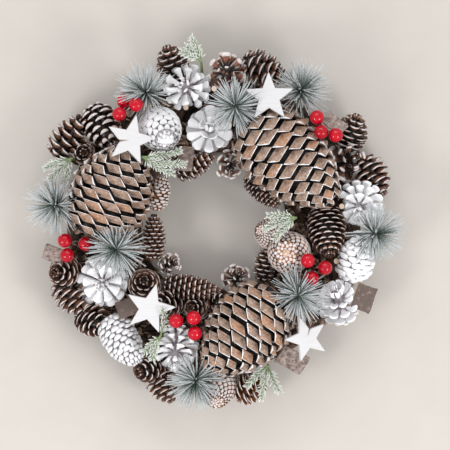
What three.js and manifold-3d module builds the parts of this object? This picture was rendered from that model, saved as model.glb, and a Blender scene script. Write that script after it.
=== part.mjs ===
// A pinecone wreath lying on its back: cones, needle picks, sprigs, berries and wooden stars on a twig ring.
// Millimetres, +Z up. X runs to the right and Y up the wreath, as someone looking down on it sees them.
import * as THREE from 'three';
import Module from 'manifold-3d';

const wasm = await Module();
wasm.setup();

// Half the width of the wreath, and the ring that carries everything
const HALF_WIDTH = 180;
const RING_RADIUS = 108;
const RING_WIDTH = 74;
const RING_HEIGHT = 17;
const RING_STEPS = 38;
const RING_THINNEST = 6;
const RING_STRANDS = 9;
const RING_RELIEF = 1.6;
const STUB_RADIUS = 2.6;

// The ring's section: how far out its flat underside reaches, then the points over its top as shares of half
// the width and of the height. The strands' wave shifts from one of these points to the next.
const RING_FLAT = 0.86;
const RING_COLUMNS = [-1, -0.8, -0.28, 0.28, 0.8, 1];
const RING_HEIGHTS = [0.45, 0.95, 0.95, 0.95, 0.95, 0.45];
const WAVE_SHIFT = 2.1;

// Gaps that touching pieces keep to each other, and the lowest that a cone outside the ring may hang
const GAP = 0.35;
const NEEDLE_GAP = 0.9;
const FLOOR = 1.2;

// Steps of the searches for free room, and the finest detail that stays
const SEARCH_STEP = 0.5;
const SHARE_STEP = 0.03;
const LEAST_SHARE = 0.2;
const SCALE_SAMPLES = [0.45, 0.72, 1];
const NEEDLE_SAMPLES = [0.25, 0.4, 0.55, 0.7, 0.85, 1];
const SMALLEST_STEP = 0.1;

// Berries, their wires, the stars, the bark and the needles
const BERRY_RADIUS = 6.9;
const WIRE_RADIUS = 0.9;
const STEM_RADIUS = 2.2;
const BUNCH_RADIUS = 1.54;
const WIRE_STEM_RADIUS = 1.6;
const PEG_RADIUS = 3;
const BERRY_ROWS = 5;
const BERRY_SIDES = 6;
const FORK_DROP = 16;
const STAR_THICKNESS = 4.6;
const STAR_WAIST = 0.42;
const BARK_THICKNESS = 3;
const BARK_CURL = 0.08;
const BARK_COLUMNS = 4;
const BARK_ROWS = 2;
const NEEDLE_LENGTH = 33;
const LEAF_LENGTH = 7.5;
const LEAF_SPREAD = 0.9;
const NEEDLE_RADIUS = 0.7;

// A pick's bud: needles in rows round it, spread widely at its foot and narrowly at its end, in degrees
const PICK_SIDES = 7;
const PICK_ROWS = 6;
const BUD_LENGTH = 11;
const FAN_WIDEST = 100;
const FAN_NARROWEST = 36;
const TWIG_STEPS = 4;
const STEM_RISE = 4;

// Where a cone is widest, as a share of its length, and the sections of the plain cover round it
const BELLY = 0.36;
const COVER_SIDES = 12;
const COVER_SHARES = [-0.01, 0.16, 0.36, 0.6, 0.8, 0.92, 1.01];

const UP = new THREE.Vector3(0, 0, 1);

// How each kind of cone is built. core is the depth of the grooves as a share of the outer radius, base and
// tip are the radii at the two ends as a share of the largest one, rise is how far the scales lean towards
// the tip as a share of the length, and rim lists the outer points of a scale: across, along, out and lean.
const ROUND_RIM = [[0.3, 0, 0.9, 0.8], [0, 0.1, 1, 1], [-0.3, 0, 0.9, 0.8]];
const WEDGE_RIM = [[0.32, 0, 1, 1], [-0.32, 0, 1, 1]];
const KNOB_RIM = [[0, 0, 1, 1]];
const PLATE_RIM = [[0, -0.7, 0.84, 1], [0.42, 0, 0.95, 1], [0, 0.76, 1, 1], [-0.42, 0, 0.95, 1]];
const KINDS = {
  large: { scales: 8, rows: 9, twist: 0.16, core: 0.6, base: 0.66, tip: 0.22, rise: 0.05, plate: true },
  rose: { scales: 7, rows: 6, twist: 0.08, core: 0.34, base: 0.86, tip: 0.2, rise: 0.16, rim: ROUND_RIM },
  packed: { scales: 7, rows: 6, twist: 0.1, core: 0.66, base: 0.7, tip: 0.3, rise: 0.08, rim: ROUND_RIM },
  net: { scales: 8, rows: 7, twist: 0.12, core: 0.9, base: 0.5, tip: 0.3, rise: 0, rim: KNOB_RIM },
  fine: { scales: 6, rows: 6, twist: 0.1, core: 0.5, base: 0.7, tip: 0.3, rise: 0.1, rim: WEDGE_RIM },
  small: { scales: 5, rows: 4, twist: 0.08, core: 0.42, base: 0.8, tip: 0.3, rise: 0.14, rim: WEDGE_RIM },
};

// Colours
const paint = {
  twig: { color: 0x4a382a, roughness: 0.9, metalness: 0 },
  brown: { color: 0x7b5638, roughness: 0.8, metalness: 0 },
  dark: { color: 0x5a3a28, roughness: 0.85, metalness: 0 },
  white: { color: 0xe6e4e2, roughness: 0.75, metalness: 0 },
  net: { color: 0xb59079, roughness: 0.8, metalness: 0 },
  needle: { color: 0x6f8375, roughness: 0.7, metalness: 0 },
  leaf: { color: 0xa9b89c, roughness: 0.7, metalness: 0 },
  berry: { color: 0xb01218, roughness: 0.25, metalness: 0 },
  star: { color: 0xf2f1ee, roughness: 0.7, metalness: 0 },
  bark: { color: 0x76685c, roughness: 0.9, metalness: 0 },
};

// The cones, in the order in which they give way: a later one keeps clear of an earlier one.
// Node, kind, middle x, y, z, length, width, direction of the tip in plan and its rise, in degrees.
const cones = [
  ['white_cone_upper', 'rose', -4, 93, 39.4, 48, 49, 90, 84],
  ['large_cone_left', 'large', -97, 34, 52, 96, 88, 65, 5],
  ['large_cone_right', 'large', 75, 61, 50, 117, 86, -43, 3],
  ['large_cone_bottom', 'large', 28, -105, 48, 101, 83, -133, 4],
  ['white_net_cone', 'net', -51, 91, 59, 50, 43, -60, 62],
  ['white_cone_top', 'rose', -27, 134, 41.6, 50, 48, 170, 76],
  ['white_cone_left', 'rose', -108, -56, 38.8, 48, 52, -90, 82],
  ['white_cone_bottom', 'rose', -37, -123, 42, 48, 47, -95, 45],
  ['white_cone_right', 'rose', 141, 18, 42, 46, 48, -100, 60],
  ['white_cone_closed', 'packed', 138, -32, 40, 45, 40, 75, 12],
  ['white_cone_lower_right', 'rose', 121, -72, 43, 50, 46, 110, 50],
  ['white_cone_lower_left', 'packed', -88, -113, 38, 54, 39, -55, 10],
  ['net_cones_right', 'net', 74, -27, 40, 46, 42, 0, -80],
  ['net_cones_right', 'net', 54, -8, 38, 36, 31, 160, 60],
  ['net_cone_bottom', 'net', 3, -158, 30, 43, 41, -90, 50],
  ['net_cone_bottom', 'small', 36, -158, 28, 34, 34, 20, 10],
  ['brown_cone_right', 'fine', 110, -6, 43, 52, 40, -85, 25],
  ['brown_cones_top', 'fine', 12, 150, 34, 40, 44, 90, -75],
  ['brown_cones_top', 'small', 49, 150, 33, 46, 39, -25, 5],
  ['brown_cone_far_top', 'small', -40, 157, 30, 38, 36, 110, 20],
  ['brown_cone_upper_left', 'fine', -108, 95, 36, 46, 40, -60, 20],
  ['brown_cones_left', 'small', -137, 87, 32, 52, 39, 48, 0],
  ['brown_cones_left', 'small', -128, 70, 38, 34, 28, 0, 80],
  ['brown_cones_upper_right', 'small', 155, 46, 28, 42, 38, -60, 0],
  ['brown_cones_upper_right', 'fine', 131, 63, 36, 44, 44, 40, 72],
  ['brown_cones_upper_right', 'small', 134, 91, 32, 36, 36, 70, 20],
  ['brown_cone_inner_right', 'fine', 48, 33, 28, 43, 25, -45, 8],
  ['brown_cone_hole_right', 'small', 50, -37, 31, 34, 23, 80, 5],
  ['net_cone_inner_left', 'net', -53, 32, 37, 34, 25, 75, 8],
  ['brown_cones_inner_top', 'small', -17, 58, 35, 40, 24, 30, 5],
  ['brown_cones_inner_top', 'small', 16, 57, 35, 30, 32, -60, 70],
  ['brown_cones_inner_left', 'fine', -58, -11, 36, 44, 25, 90, 0],
  ['brown_cones_inner_left', 'small', -42, -37, 36, 28, 26, 30, 65],
  ['brown_cone_inner_bottom', 'fine', -21, -61, 36, 56, 27, -8, 4],
  ['brown_cones_under_star', 'small', -67, -58, 35, 38, 33, 90, 75],
  ['brown_cones_under_star', 'small', -46, -76, 34, 34, 32, 200, 50],
  ['brown_cones_hole_bottom', 'small', 23, -51, 32, 30, 32, 60, 68],
  ['brown_cones_hole_bottom', 'small', 5, -73, 35, 32, 27, 0, 60],
  ['brown_cones_hole_bottom', 'small', -17, -80, 34, 32, 26, 180, 70],
  ['brown_cones_bottom', 'small', -63, -139, 34, 36, 33, 200, 50],
  ['brown_cones_bottom', 'small', -49, -157, 29, 36, 33, -60, 0],
  ['brown_cones_lower_left', 'small', -146, -46, 34, 32, 34, 180, 60],
  ['brown_cones_lower_left', 'small', -137, -70, 30, 42, 38, -50, 0],
  ['brown_cones_lower_left', 'small', -117, -93, 30, 34, 36, -40, 30],
].map(([node, kind, x, y, z, long, wide, turn, lift]) => ({ node, kind, x, y, z, long, wide, turn, lift }));

// Cones that rest on nothing else are wired to the ring
const wired = [
  'white_cone_lower_left', 'net_cones_right', 'brown_cone_upper_left', 'brown_cones_upper_right',
  'brown_cones_inner_top', 'brown_cones_under_star', 'brown_cone_right', 'net_cone_bottom',
];

// Needle picks: x, y, z of the bud, and the direction that its needles fan round
const picks = [
  { node: 'needle_pick_top_left', x: -64, y: 127, z: 58, turn: 150, lift: 50 },
  { node: 'needle_pick_top', x: 21, y: 113, z: 66, turn: 100, lift: 80 },
  { node: 'needle_pick_top_right', x: 84, y: 129, z: 50, turn: 60, lift: 55 },
  { node: 'needle_pick_far_left', x: -151, y: 19, z: 53, turn: 190, lift: 56 },
  { node: 'needle_pick_left', x: -93, y: -23, z: 64, turn: -90, lift: 82 },
  { node: 'needle_pick_far_right', x: 154, y: -8, z: 56, turn: -10, lift: 62 },
  { node: 'needle_pick_lower_right', x: 81, y: -67, z: 58, turn: -70, lift: 74 },
  { node: 'needle_pick_bottom', x: -17, y: -149, z: 50, turn: -110, lift: 62 },
];

// Frosted sprigs: root, the directions of their twigs in plan, their length and lift
const sprigs = [
  { node: 'sprig_top', x: -12, y: 157, z: 60, twigs: [102, 124, 144], long: 24, lift: 6 },
  { node: 'sprig_left', x: -137, y: 64, z: 54, twigs: [215, 245, 190], long: 30, lift: -8 },
  { node: 'sprig_inner_top', x: -68, y: 65, z: 76, twigs: [-20, -38, 0], long: 42, lift: -14 },
  { node: 'sprig_right', x: 79, y: 7, z: 66, twigs: [190, 166, 216], long: 32, lift: 0 },
  { node: 'sprig_bottom_left', x: -51, y: -107, z: 62, twigs: [75, 215, 240], long: 26, lift: 6 },
  { node: 'sprig_bottom', x: 53, y: -136, z: 46, twigs: [248, 282, 214], long: 32, lift: 4 },
];

// Bunches of three berries, each at x, y, z
const bunches = [
  { node: 'berries_top_left', berries: [[-74, 115, 75], [-90, 106, 72], [-86, 119, 64]] },
  { node: 'berries_right', berries: [[99, 103, 70], [103, 89, 73], [117, 86, 70]] },
  { node: 'berries_left', berries: [[-143, -15, 60], [-141, -29, 58], [-123, -18, 62]] },
  { node: 'berries_lower_right', berries: [[90, -34, 72], [107, -41, 66], [94, -51, 66]] },
  { node: 'berries_bottom', berries: [[-36, -92, 66], [-19, -89, 68], [-18, -104, 64]] },
];

// Wooden stars: middle, radius, direction of the first point, then how far the face leans and towards where
const stars = [
  { node: 'star_top', x: 53, y: 122, z: 75.6, radius: 25, turn: 91, lean: 8, towards: 90 },
  {
    node: 'star_left', x: -79, y: 81, z: 80, radius: 25, turn: 77, lean: 12, towards: 0,
    cutBy: 'white_net_cone',
  },
  { node: 'star_lower_left', x: -61, y: -80, z: 66, radius: 25.5, turn: 75, lean: 3, towards: -90 },
  { node: 'star_lower_right', x: 89, y: -109, z: 62.2, radius: 23, turn: 38, lean: 18, towards: 0 },
];

// Pieces of bark: middle, size along and across, direction of the length, lean of the face and its direction
const barks = [
  { node: 'bark_upper_right', x: 117, y: 98, z: 48, long: 24, wide: 14, turn: -40, lean: 15, towards: 60 },
  { node: 'bark_far_left', x: -155, y: -29, z: 38, long: 22, wide: 16, turn: -20, lean: 20, towards: 200 },
  { node: 'bark_inner_top', x: -27, y: 64, z: 50, long: 24, wide: 15, turn: 85, lean: 20, towards: -60 },
  { node: 'bark_lower_left', x: -84, y: -80, z: 46, long: 20, wide: 17, turn: 20, lean: 10, towards: 90 },
  { node: 'bark_right', x: 146, y: -71, z: 42, long: 26, wide: 22, turn: 70, lean: 25, towards: -20 },
  { node: 'bark_bottom', x: 76, y: -131, z: 40, long: 30, wide: 20, turn: -30, lean: 20, towards: -70 },
];

// Cut twigs that stand out of the ring between the cones: x, y, z of their cut end
const stubs = [
  [0.5, 132, 44], [-27, 114, 40], [124, 18, 46], [119, -35, 44],
];

// Small helpers

function wobble(number) {
  const wave = Math.sin(number * 12.9898 + 4.1414) * 43758.5453;
  return wave - Math.floor(wave);
}

function direction(turn, lift) {
  const across = Math.cos(THREE.MathUtils.degToRad(lift));
  const angle = THREE.MathUtils.degToRad(turn);
  const rise = Math.sin(THREE.MathUtils.degToRad(lift));
  return new THREE.Vector3(across * Math.cos(angle), across * Math.sin(angle), rise);
}

function blend(from, to, share) {
  return from.clone().lerp(to, share);
}

class Shell {
  constructor() {
    this.points = [];
    this.faces = [];
  }

  add(point) {
    this.points.push(point);
    return this.points.length - 1;
  }

  face(...corners) {
    for (let k = 1; k + 1 < corners.length; k++) {
      this.faces.push([corners[0], corners[k], corners[k + 1]]);
    }
  }

  solid() {
    const vertProperties = new Float32Array(this.points.flatMap((point) => point.toArray()));
    const triVerts = new Uint32Array(this.faces.flat());
    return new wasm.Manifold(new wasm.Mesh({ numProp: 3, vertProperties, triVerts }));
  }
}

// Solids that other pieces keep clear of. Each tells if a point is nearer to it than the margin.

function ballObstacle(centre, radius) {
  return { centre, reach: radius, near: (point, margin) => point.distanceTo(centre) < radius + margin };
}

function rodObstacle(from, to, radius) {
  const line = new THREE.Line3(from, to);
  const foot = new THREE.Vector3();
  return {
    stands: true,
    from,
    to,
    radius,
    centre: blend(from, to, 0.5),
    reach: from.distanceTo(to) / 2 + radius,
    near: (point, margin) => line.closestPointToPoint(point, true, foot).distanceTo(point) < radius + margin,
  };
}

function plateObstacle(centre, turnBack, long, wide, thick, round) {
  const local = new THREE.Vector3();
  return {
    centre,
    reach: Math.hypot(long, wide) / 2 + thick,
    near: (point, margin) => {
      local.copy(point).sub(centre).applyQuaternion(turnBack);
      if (Math.abs(local.z) > thick / 2 + margin) {
        return false;
      }
      if (round) {
        return Math.hypot(local.x, local.y) < long / 2 + margin;
      }
      return Math.abs(local.x) < long / 2 + margin && Math.abs(local.y) < wide / 2 + margin;
    },
  };
}

// The outer radius of a cone at a share of its length from base to tip
function coneRadius(cone, share) {
  const kind = KINDS[cone.kind];
  const widest = cone.wide / 2;
  if (share < BELLY) {
    return widest * (kind.base + (1 - kind.base) * Math.sin((Math.PI / 2) * Math.max(share, 0) / BELLY));
  }
  const after = Math.min((share - BELLY) / (1 - BELLY), 1);
  return widest * (kind.tip + (1 - kind.tip) * Math.cos((Math.PI / 2) * after ** 1.3));
}

// The first scales start above the base, so a cone is no wider than its core there
function baseShare(cone, share) {
  const kind = KINDS[cone.kind];
  const firstScale = (1 - kind.rise) * (kind.plate ? 0.3 : 1) / kind.rows;
  const grown = Math.min(Math.max(share, 0) / firstScale, 1);
  return kind.core + (1 - kind.core) * grown;
}

function coneObstacle(cone) {
  const centre = new THREE.Vector3(cone.x, cone.y, cone.z);
  const turnBack = coneTurn(cone).invert();
  const local = new THREE.Vector3();
  return {
    centre,
    reach: Math.hypot(cone.long, cone.wide) / 2,
    near: (point, margin) => {
      local.copy(point).sub(centre).applyQuaternion(turnBack);
      if (Math.abs(local.z) > cone.long / 2 + margin) {
        return false;
      }
      const share = local.z / cone.long + 0.5;
      return Math.hypot(local.x, local.y) < coneRadius(cone, share) * baseShare(cone, share) + margin;
    },
  };
}

function coneTurn(cone) {
  return new THREE.Quaternion().setFromUnitVectors(UP, direction(cone.turn, cone.lift));
}

// The slab of ring that is always left under the cones, as an obstacle for them
const ringFloor = {
  stands: true,
  centre: new THREE.Vector3(),
  reach: 1000,
  near: (point, margin) => {
    const out = Math.hypot(point.x, point.y);
    const overRing = Math.abs(out - RING_RADIUS) < RING_WIDTH / 2 + 4;
    return point.z < (overRing ? RING_THINNEST + 1 : FLOOR) + margin;
  },
};

function nearby(obstacles, centre, reach) {
  return obstacles.filter((other) => other.centre.distanceTo(centre) < other.reach + reach + 2);
}

function blocked(point, obstacles, margin) {
  return obstacles.some((other) => other.near(point, margin));
}

// Cones

function coneShell(cone, obstacles, seed) {
  const kind = KINDS[cone.kind];
  const shell = new Shell();
  const centre = new THREE.Vector3(cone.x, cone.y, cone.z);
  const turn = coneTurn(cone);
  const close = nearby(obstacles, centre, Math.hypot(cone.long, cone.wide) / 2);
  const spin = seed * 2.4;
  const coreLong = cone.long * (1 - kind.rise);
  const step = coreLong / kind.rows;
  const angleOf = (row, count) => spin + 2 * Math.PI * (count + row * (0.5 + kind.twist)) / kind.scales;
  const place = (angle, out, along) => {
    const local = new THREE.Vector3(out * Math.cos(angle), out * Math.sin(angle), along - cone.long / 2);
    return local.applyQuaternion(turn).add(centre);
  };
  const clearCore = (angle, out, along) => {
    let radius = out;
    while (radius > SEARCH_STEP && blocked(place(angle, radius, along), close, GAP + SEARCH_STEP)) {
      radius -= SEARCH_STEP;
    }
    return place(angle, Math.max(radius, SEARCH_STEP), along);
  };
  const core = [];
  for (let row = 0; row <= kind.rows; row++) {
    const out = kind.core * coneRadius(cone, row / kind.rows);
    const ring = [];
    for (let count = 0; count < kind.scales; count++) {
      ring.push(shell.add(clearCore(angleOf(row, count), out, row * step)));
    }
    core.push(ring);
  }
  const at = (row, count) => core[row][(count + kind.scales) % kind.scales];
  const baseMiddle = shell.add(place(0, 0, 0));
  const tipMiddle = shell.add(place(0, 0, coreLong));
  for (let count = 0; count < kind.scales; count++) {
    shell.face(at(0, count), at(0, count + 1), at(1, count));
    shell.face(baseMiddle, at(0, count + 1), at(0, count));
    shell.face(at(kind.rows - 1, count), at(kind.rows, count), at(kind.rows, count - 1));
    shell.face(tipMiddle, at(kind.rows, count), at(kind.rows, count + 1));
  }
  for (let row = 1; row < kind.rows; row++) {
    for (let count = 0; count < kind.scales; count++) {
      addScale(row, count);
    }
  }
  return shell;

  function addScale(row, count) {
    const corners = [at(row - 1, count + 1), at(row, count + 1), at(row + 1, count), at(row, count)];
    const middle = angleOf(row, count) + Math.PI / kind.scales;
    const lean = cone.long * kind.rise * (0.35 + 0.65 * row / kind.rows);
    const length = 1 - 0.03 * wobble(seed * 31 + row * 7 + count);
    const outer = (across, along, out, leaning) => {
      const height = (row + along) * step + lean * leaning;
      const angle = middle + 2 * Math.PI * (across + along * kind.twist) / kind.scales;
      const foot = kind.core * coneRadius(cone, row / kind.rows);
      const full = coneRadius(cone, height / cone.long) * length;
      return place(angle, Math.max(foot + 0.4, foot + (full - foot) * out), height);
    };
    const root = new THREE.Vector3();
    corners.forEach((corner) => root.addScaledVector(shell.points[corner], 0.25));
    if (kind.plate) {
      const rim = PLATE_RIM.map((values) => outer(...values));
      const share = freeShare(root, rim);
      const ends = rim.map((point) => shell.add(blend(root, point, share)));
      for (let k = 0; k < 4; k++) {
        const next = (k + 1) % 4;
        shell.face(corners[next], ends[next], ends[k], corners[k]);
      }
      shell.face(ends[1], ends[2], ends[3], ends[0]);
      return;
    }
    const rim = kind.rim.map((values) => outer(...values));
    const share = freeShare(root, rim);
    const ends = rim.map((point) => shell.add(blend(root, point, share)));
    const edge = [corners[1], ...ends, corners[3]];
    for (let k = 0; k + 1 < edge.length; k++) {
      shell.face(corners[0], edge[k], edge[k + 1]);
      shell.face(edge[k], corners[2], edge[k + 1]);
    }
  }

  function freeShare(root, rim) {
    const samples = [];
    rim.forEach((point, k) => {
      const next = blend(point, rim[(k + 1) % rim.length], 0.5);
      samples.push(point, next);
    });
    for (let share = 1; share > LEAST_SHARE; share -= SHARE_STEP) {
      const hit = samples.some((point) => SCALE_SAMPLES.some(
        (part) => blocked(blend(root, point, part * share), close, GAP)));
      if (!hit) {
        return share;
      }
    }
    return LEAST_SHARE;
  }
}

// A tube along points, with a needle raised from each of its faces where needleEnd gives one
function tubeShell(path, radii, sides, needleEnd) {
  const shell = new Shell();
  const rings = path.map((point, k) => {
    const before = path[Math.max(k - 1, 0)];
    const after = path[Math.min(k + 1, path.length - 1)];
    const along = after.clone().sub(before).normalize();
    const guide = Math.abs(along.z) < 0.95 ? UP : new THREE.Vector3(1, 0, 0);
    const side = new THREE.Vector3().crossVectors(guide, along).normalize();
    const other = new THREE.Vector3().crossVectors(along, side);
    const ring = [];
    for (let count = 0; count < sides; count++) {
      const angle = 2 * Math.PI * (count + 0.5 * (k % 2)) / sides;
      const corner = point.clone().addScaledVector(side, radii[k] * Math.cos(angle));
      ring.push(shell.add(corner.addScaledVector(other, radii[k] * Math.sin(angle))));
    }
    return ring;
  });
  const last = path.length - 1;
  const start = shell.add(path[0].clone());
  const end = shell.add(path[last].clone());
  for (let count = 0; count < sides; count++) {
    const next = (count + 1) % sides;
    shell.face(start, rings[0][next], rings[0][count]);
    shell.face(end, rings[last][count], rings[last][next]);
    for (let k = 0; k < last; k++) {
      // odd rings are turned by half a side, so the split follows the shorter diagonal
      const corners = k % 2 === 0
        ? [rings[k][count], rings[k][next], rings[k + 1][next], rings[k + 1][count]]
        : [rings[k][next], rings[k + 1][(next + 1) % sides], rings[k + 1][next], rings[k][count]];
      const foot = new THREE.Vector3();
      corners.forEach((corner) => foot.addScaledVector(shell.points[corner], 0.25));
      const tip = needleEnd ? needleEnd(k, count, foot, blend(path[k], path[k + 1], 0.5)) : null;
      if (tip) {
        const point = shell.add(tip);
        corners.forEach((corner, n) => shell.face(corner, corners[(n + 1) % 4], point));
      } else if (k % 2 === 0) {
        shell.face(corners[0], corners[1], corners[3]);
        shell.face(corners[1], corners[2], corners[3]);
      } else {
        shell.face(corners[0], corners[2], corners[3]);
        shell.face(corners[0], corners[1], corners[2]);
      }
    }
  }
  return shell;
}

// Where a stem that ends at a point stands on the ring
function footOn(x, y) {
  const out = Math.hypot(x, y);
  const near = Math.min(Math.max(out, RING_RADIUS - RING_WIDTH / 2 + 4), RING_RADIUS + RING_WIDTH / 2 - 4);
  return new THREE.Vector3(x * near / out, y * near / out, RING_HEIGHT + RING_RELIEF + 0.6);
}

// Joins solids in one and keeps its largest piece
function fuse(solids) {
  const joined = solids.reduce((whole, solid) => whole.add(solid));
  return largest(joined);
}

function largest(solid) {
  const pieces = solid.decompose();
  return pieces.reduce((best, piece) => (piece.volume() > best.volume() ? piece : best));
}

function nodeMesh(name, solid, look, centre) {
  const moved = solid.simplify(SMALLEST_STEP).translate([-centre.x, -centre.y, -centre.z]);
  const mesh = moved.getMesh();
  const geometry = new THREE.BufferGeometry();
  geometry.setAttribute('position', new THREE.BufferAttribute(new Float32Array(mesh.vertProperties), 3));
  geometry.setIndex(new THREE.BufferAttribute(new Uint32Array(mesh.triVerts), 1));
  geometry.computeVertexNormals();
  const node = new THREE.Mesh(geometry, new THREE.MeshStandardMaterial(paint[look]));
  node.name = name;
  node.position.copy(centre);
  return node;
}

const wreath = new THREE.Group();
wreath.name = 'pinecone_wreath';
const obstacles = [ringFloor];
const outerLimit = {
  centre: new THREE.Vector3(),
  reach: 1000,
  near: (point, margin) => {
    const out = Math.max(Math.abs(point.x), Math.abs(point.y));
    return out > HALF_WIDTH + NEEDLE_GAP - margin;
  },
};

// The twig ring: a flat underside, strands raised by a wave on top, and pressed down where something stands

function ringSolid() {
  const shell = new Shell();
  const above = obstacles.filter((other) => !other.stands && other.centre.z - other.reach < RING_HEIGHT + 6);
  const rings = [];
  for (let step = 0; step < RING_STEPS; step++) {
    const angle = 2 * Math.PI * step / RING_STEPS;
    const ring = [];
    const put = (share, z) => {
      const out = RING_RADIUS + share * RING_WIDTH / 2;
      ring.push(shell.add(new THREE.Vector3(out * Math.cos(angle), out * Math.sin(angle), z)));
    };
    put(RING_FLAT, 0);
    put(-RING_FLAT, 0);
    RING_COLUMNS.forEach((share, column) => {
      const wave = Math.sin(angle * RING_STRANDS + column * WAVE_SHIFT) * RING_RELIEF;
      put(share, pressed(angle, share, RING_HEIGHT * RING_HEIGHTS[column] + wave, above));
    });
    rings.push(ring);
  }
  for (let step = 0; step < RING_STEPS; step++) {
    const one = rings[step];
    const two = rings[(step + 1) % RING_STEPS];
    for (let k = 0; k < one.length; k++) {
      const next = (k + 1) % one.length;
      shell.face(one[k], one[next], two[next], two[k]);
    }
  }
  return shell.solid();
}

// The height at a point of the ring, low enough for what stands within reach of it
function pressed(angle, share, height, above) {
  const out = RING_RADIUS + share * RING_WIDTH / 2;
  const middle = new THREE.Vector3(out * Math.cos(angle), out * Math.sin(angle), RING_THINNEST);
  const close = nearby(above, middle, RING_HEIGHT + RING_RELIEF);
  const point = new THREE.Vector3();
  let low = height;
  for (const around of [0, 6, 11]) {
    for (let k = 0; k < 8; k++) {
      point.x = middle.x + around * Math.cos(k * Math.PI / 4);
      point.y = middle.y + around * Math.sin(k * Math.PI / 4);
      for (point.z = RING_THINNEST; point.z < low + GAP; point.z += SEARCH_STEP) {
        if (blocked(point, close, GAP)) {
          low = Math.max(point.z - GAP, RING_THINNEST);
        }
      }
    }
  }
  return low;
}

// Stars and bark

function faceTurn(turn, lean, towards) {
  const leanAxis = direction(towards + 90, 0);
  const leaning = new THREE.Quaternion().setFromAxisAngle(leanAxis, THREE.MathUtils.degToRad(lean));
  const turning = new THREE.Quaternion().setFromAxisAngle(UP, THREE.MathUtils.degToRad(turn));
  return leaning.multiply(turning);
}

function starSolid(star) {
  const outline = [];
  for (let k = 0; k < 10; k++) {
    const radius = k % 2 === 0 ? star.radius : star.radius * STAR_WAIST;
    outline.push(new THREE.Vector2(radius * Math.cos(k * Math.PI / 5), radius * Math.sin(k * Math.PI / 5)));
  }
  const shell = new Shell();
  const turn = faceTurn(star.turn, star.lean, star.towards);
  const centre = new THREE.Vector3(star.x, star.y, star.z);
  const put = (point, height) => shell.add(
    new THREE.Vector3(point.x, point.y, height).applyQuaternion(turn).add(centre));
  const top = outline.map((point) => put(point, STAR_THICKNESS / 2));
  const bottom = outline.map((point) => put(point, -STAR_THICKNESS / 2));
  const middle = new THREE.Vector2();
  const topMiddle = put(middle, STAR_THICKNESS / 2);
  const bottomMiddle = put(middle, -STAR_THICKNESS / 2);
  for (let k = 0; k < 10; k++) {
    const next = (k + 1) % 10;
    shell.face(topMiddle, top[k], top[next]);
    shell.face(bottomMiddle, bottom[next], bottom[k]);
    shell.face(bottom[k], bottom[next], top[next], top[k]);
  }
  return shell.solid();
}

function barkSolid(bark, seed) {
  const shell = new Shell();
  const turn = faceTurn(bark.turn, bark.lean, bark.towards);
  const centre = new THREE.Vector3(bark.x, bark.y, bark.z);
  const columns = BARK_COLUMNS;
  const rows = BARK_ROWS;
  const grid = [1, -1].map((side) => {
    const lines = [];
    for (let row = 0; row <= rows; row++) {
      const line = [];
      for (let column = 0; column <= columns; column++) {
        const ragged = column === 0 || column === columns ? 0.06 * wobble(seed * 17 + row * 5 + column) : 0;
        const u = column / columns - 0.5;
        const along = bark.long * u * (1 - ragged);
        const across = bark.wide * (row / rows - 0.5) * (1 - 0.1 * wobble(seed * 3 + column));
        const curl = bark.wide * BARK_CURL * (0.5 - 4 * (row / rows - 0.5) ** 2);
        const height = curl + side * BARK_THICKNESS / 2;
        line.push(shell.add(new THREE.Vector3(along, across, height).applyQuaternion(turn).add(centre)));
      }
      lines.push(line);
    }
    return lines;
  });
  const [top, bottom] = grid;
  for (let row = 0; row < rows; row++) {
    for (let column = 0; column < columns; column++) {
      shell.face(top[row][column], top[row][column + 1], top[row + 1][column + 1], top[row + 1][column]);
      shell.face(bottom[row + 1][column], bottom[row + 1][column + 1], bottom[row][column + 1],
        bottom[row][column]);
    }
  }
  for (let column = 0; column < columns; column++) {
    shell.face(bottom[0][column], bottom[0][column + 1], top[0][column + 1], top[0][column]);
    shell.face(top[rows][column], top[rows][column + 1], bottom[rows][column + 1], bottom[rows][column]);
  }
  for (let row = 0; row < rows; row++) {
    shell.face(top[row][0], top[row + 1][0], bottom[row + 1][0], bottom[row][0]);
    shell.face(bottom[row][columns], bottom[row + 1][columns], top[row + 1][columns], top[row][columns]);
  }
  return shell.solid();
}

for (const star of stars) {
  if (!star.cutBy) {
    const centre = new THREE.Vector3(star.x, star.y, star.z);
    const turnBack = faceTurn(star.turn, star.lean, star.towards).invert();
    obstacles.push(plateObstacle(centre, turnBack, 2 * star.radius, 0, STAR_THICKNESS, true));
  }
}
for (const bark of barks) {
  const centre = new THREE.Vector3(bark.x, bark.y, bark.z);
  const turnBack = faceTurn(bark.turn, bark.lean, bark.towards).invert();
  const curl = bark.wide * BARK_CURL;
  obstacles.push(plateObstacle(centre, turnBack, bark.long, bark.wide, BARK_THICKNESS + curl, false));
}

// Berries

function berryRods(bunch) {
  const middle = new THREE.Vector3();
  bunch.berries.forEach(([x, y, z]) => middle.add(new THREE.Vector3(x, y, z)));
  middle.divideScalar(bunch.berries.length);
  const fork = new THREE.Vector3(middle.x, middle.y, middle.z - FORK_DROP);
  const foot = footOn(fork.x, fork.y);
  const wires = bunch.berries.map(([x, y, z]) => [fork, new THREE.Vector3(x, y, z - BERRY_RADIUS * 0.6)]);
  return [[foot, fork], ...wires];
}

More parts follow.
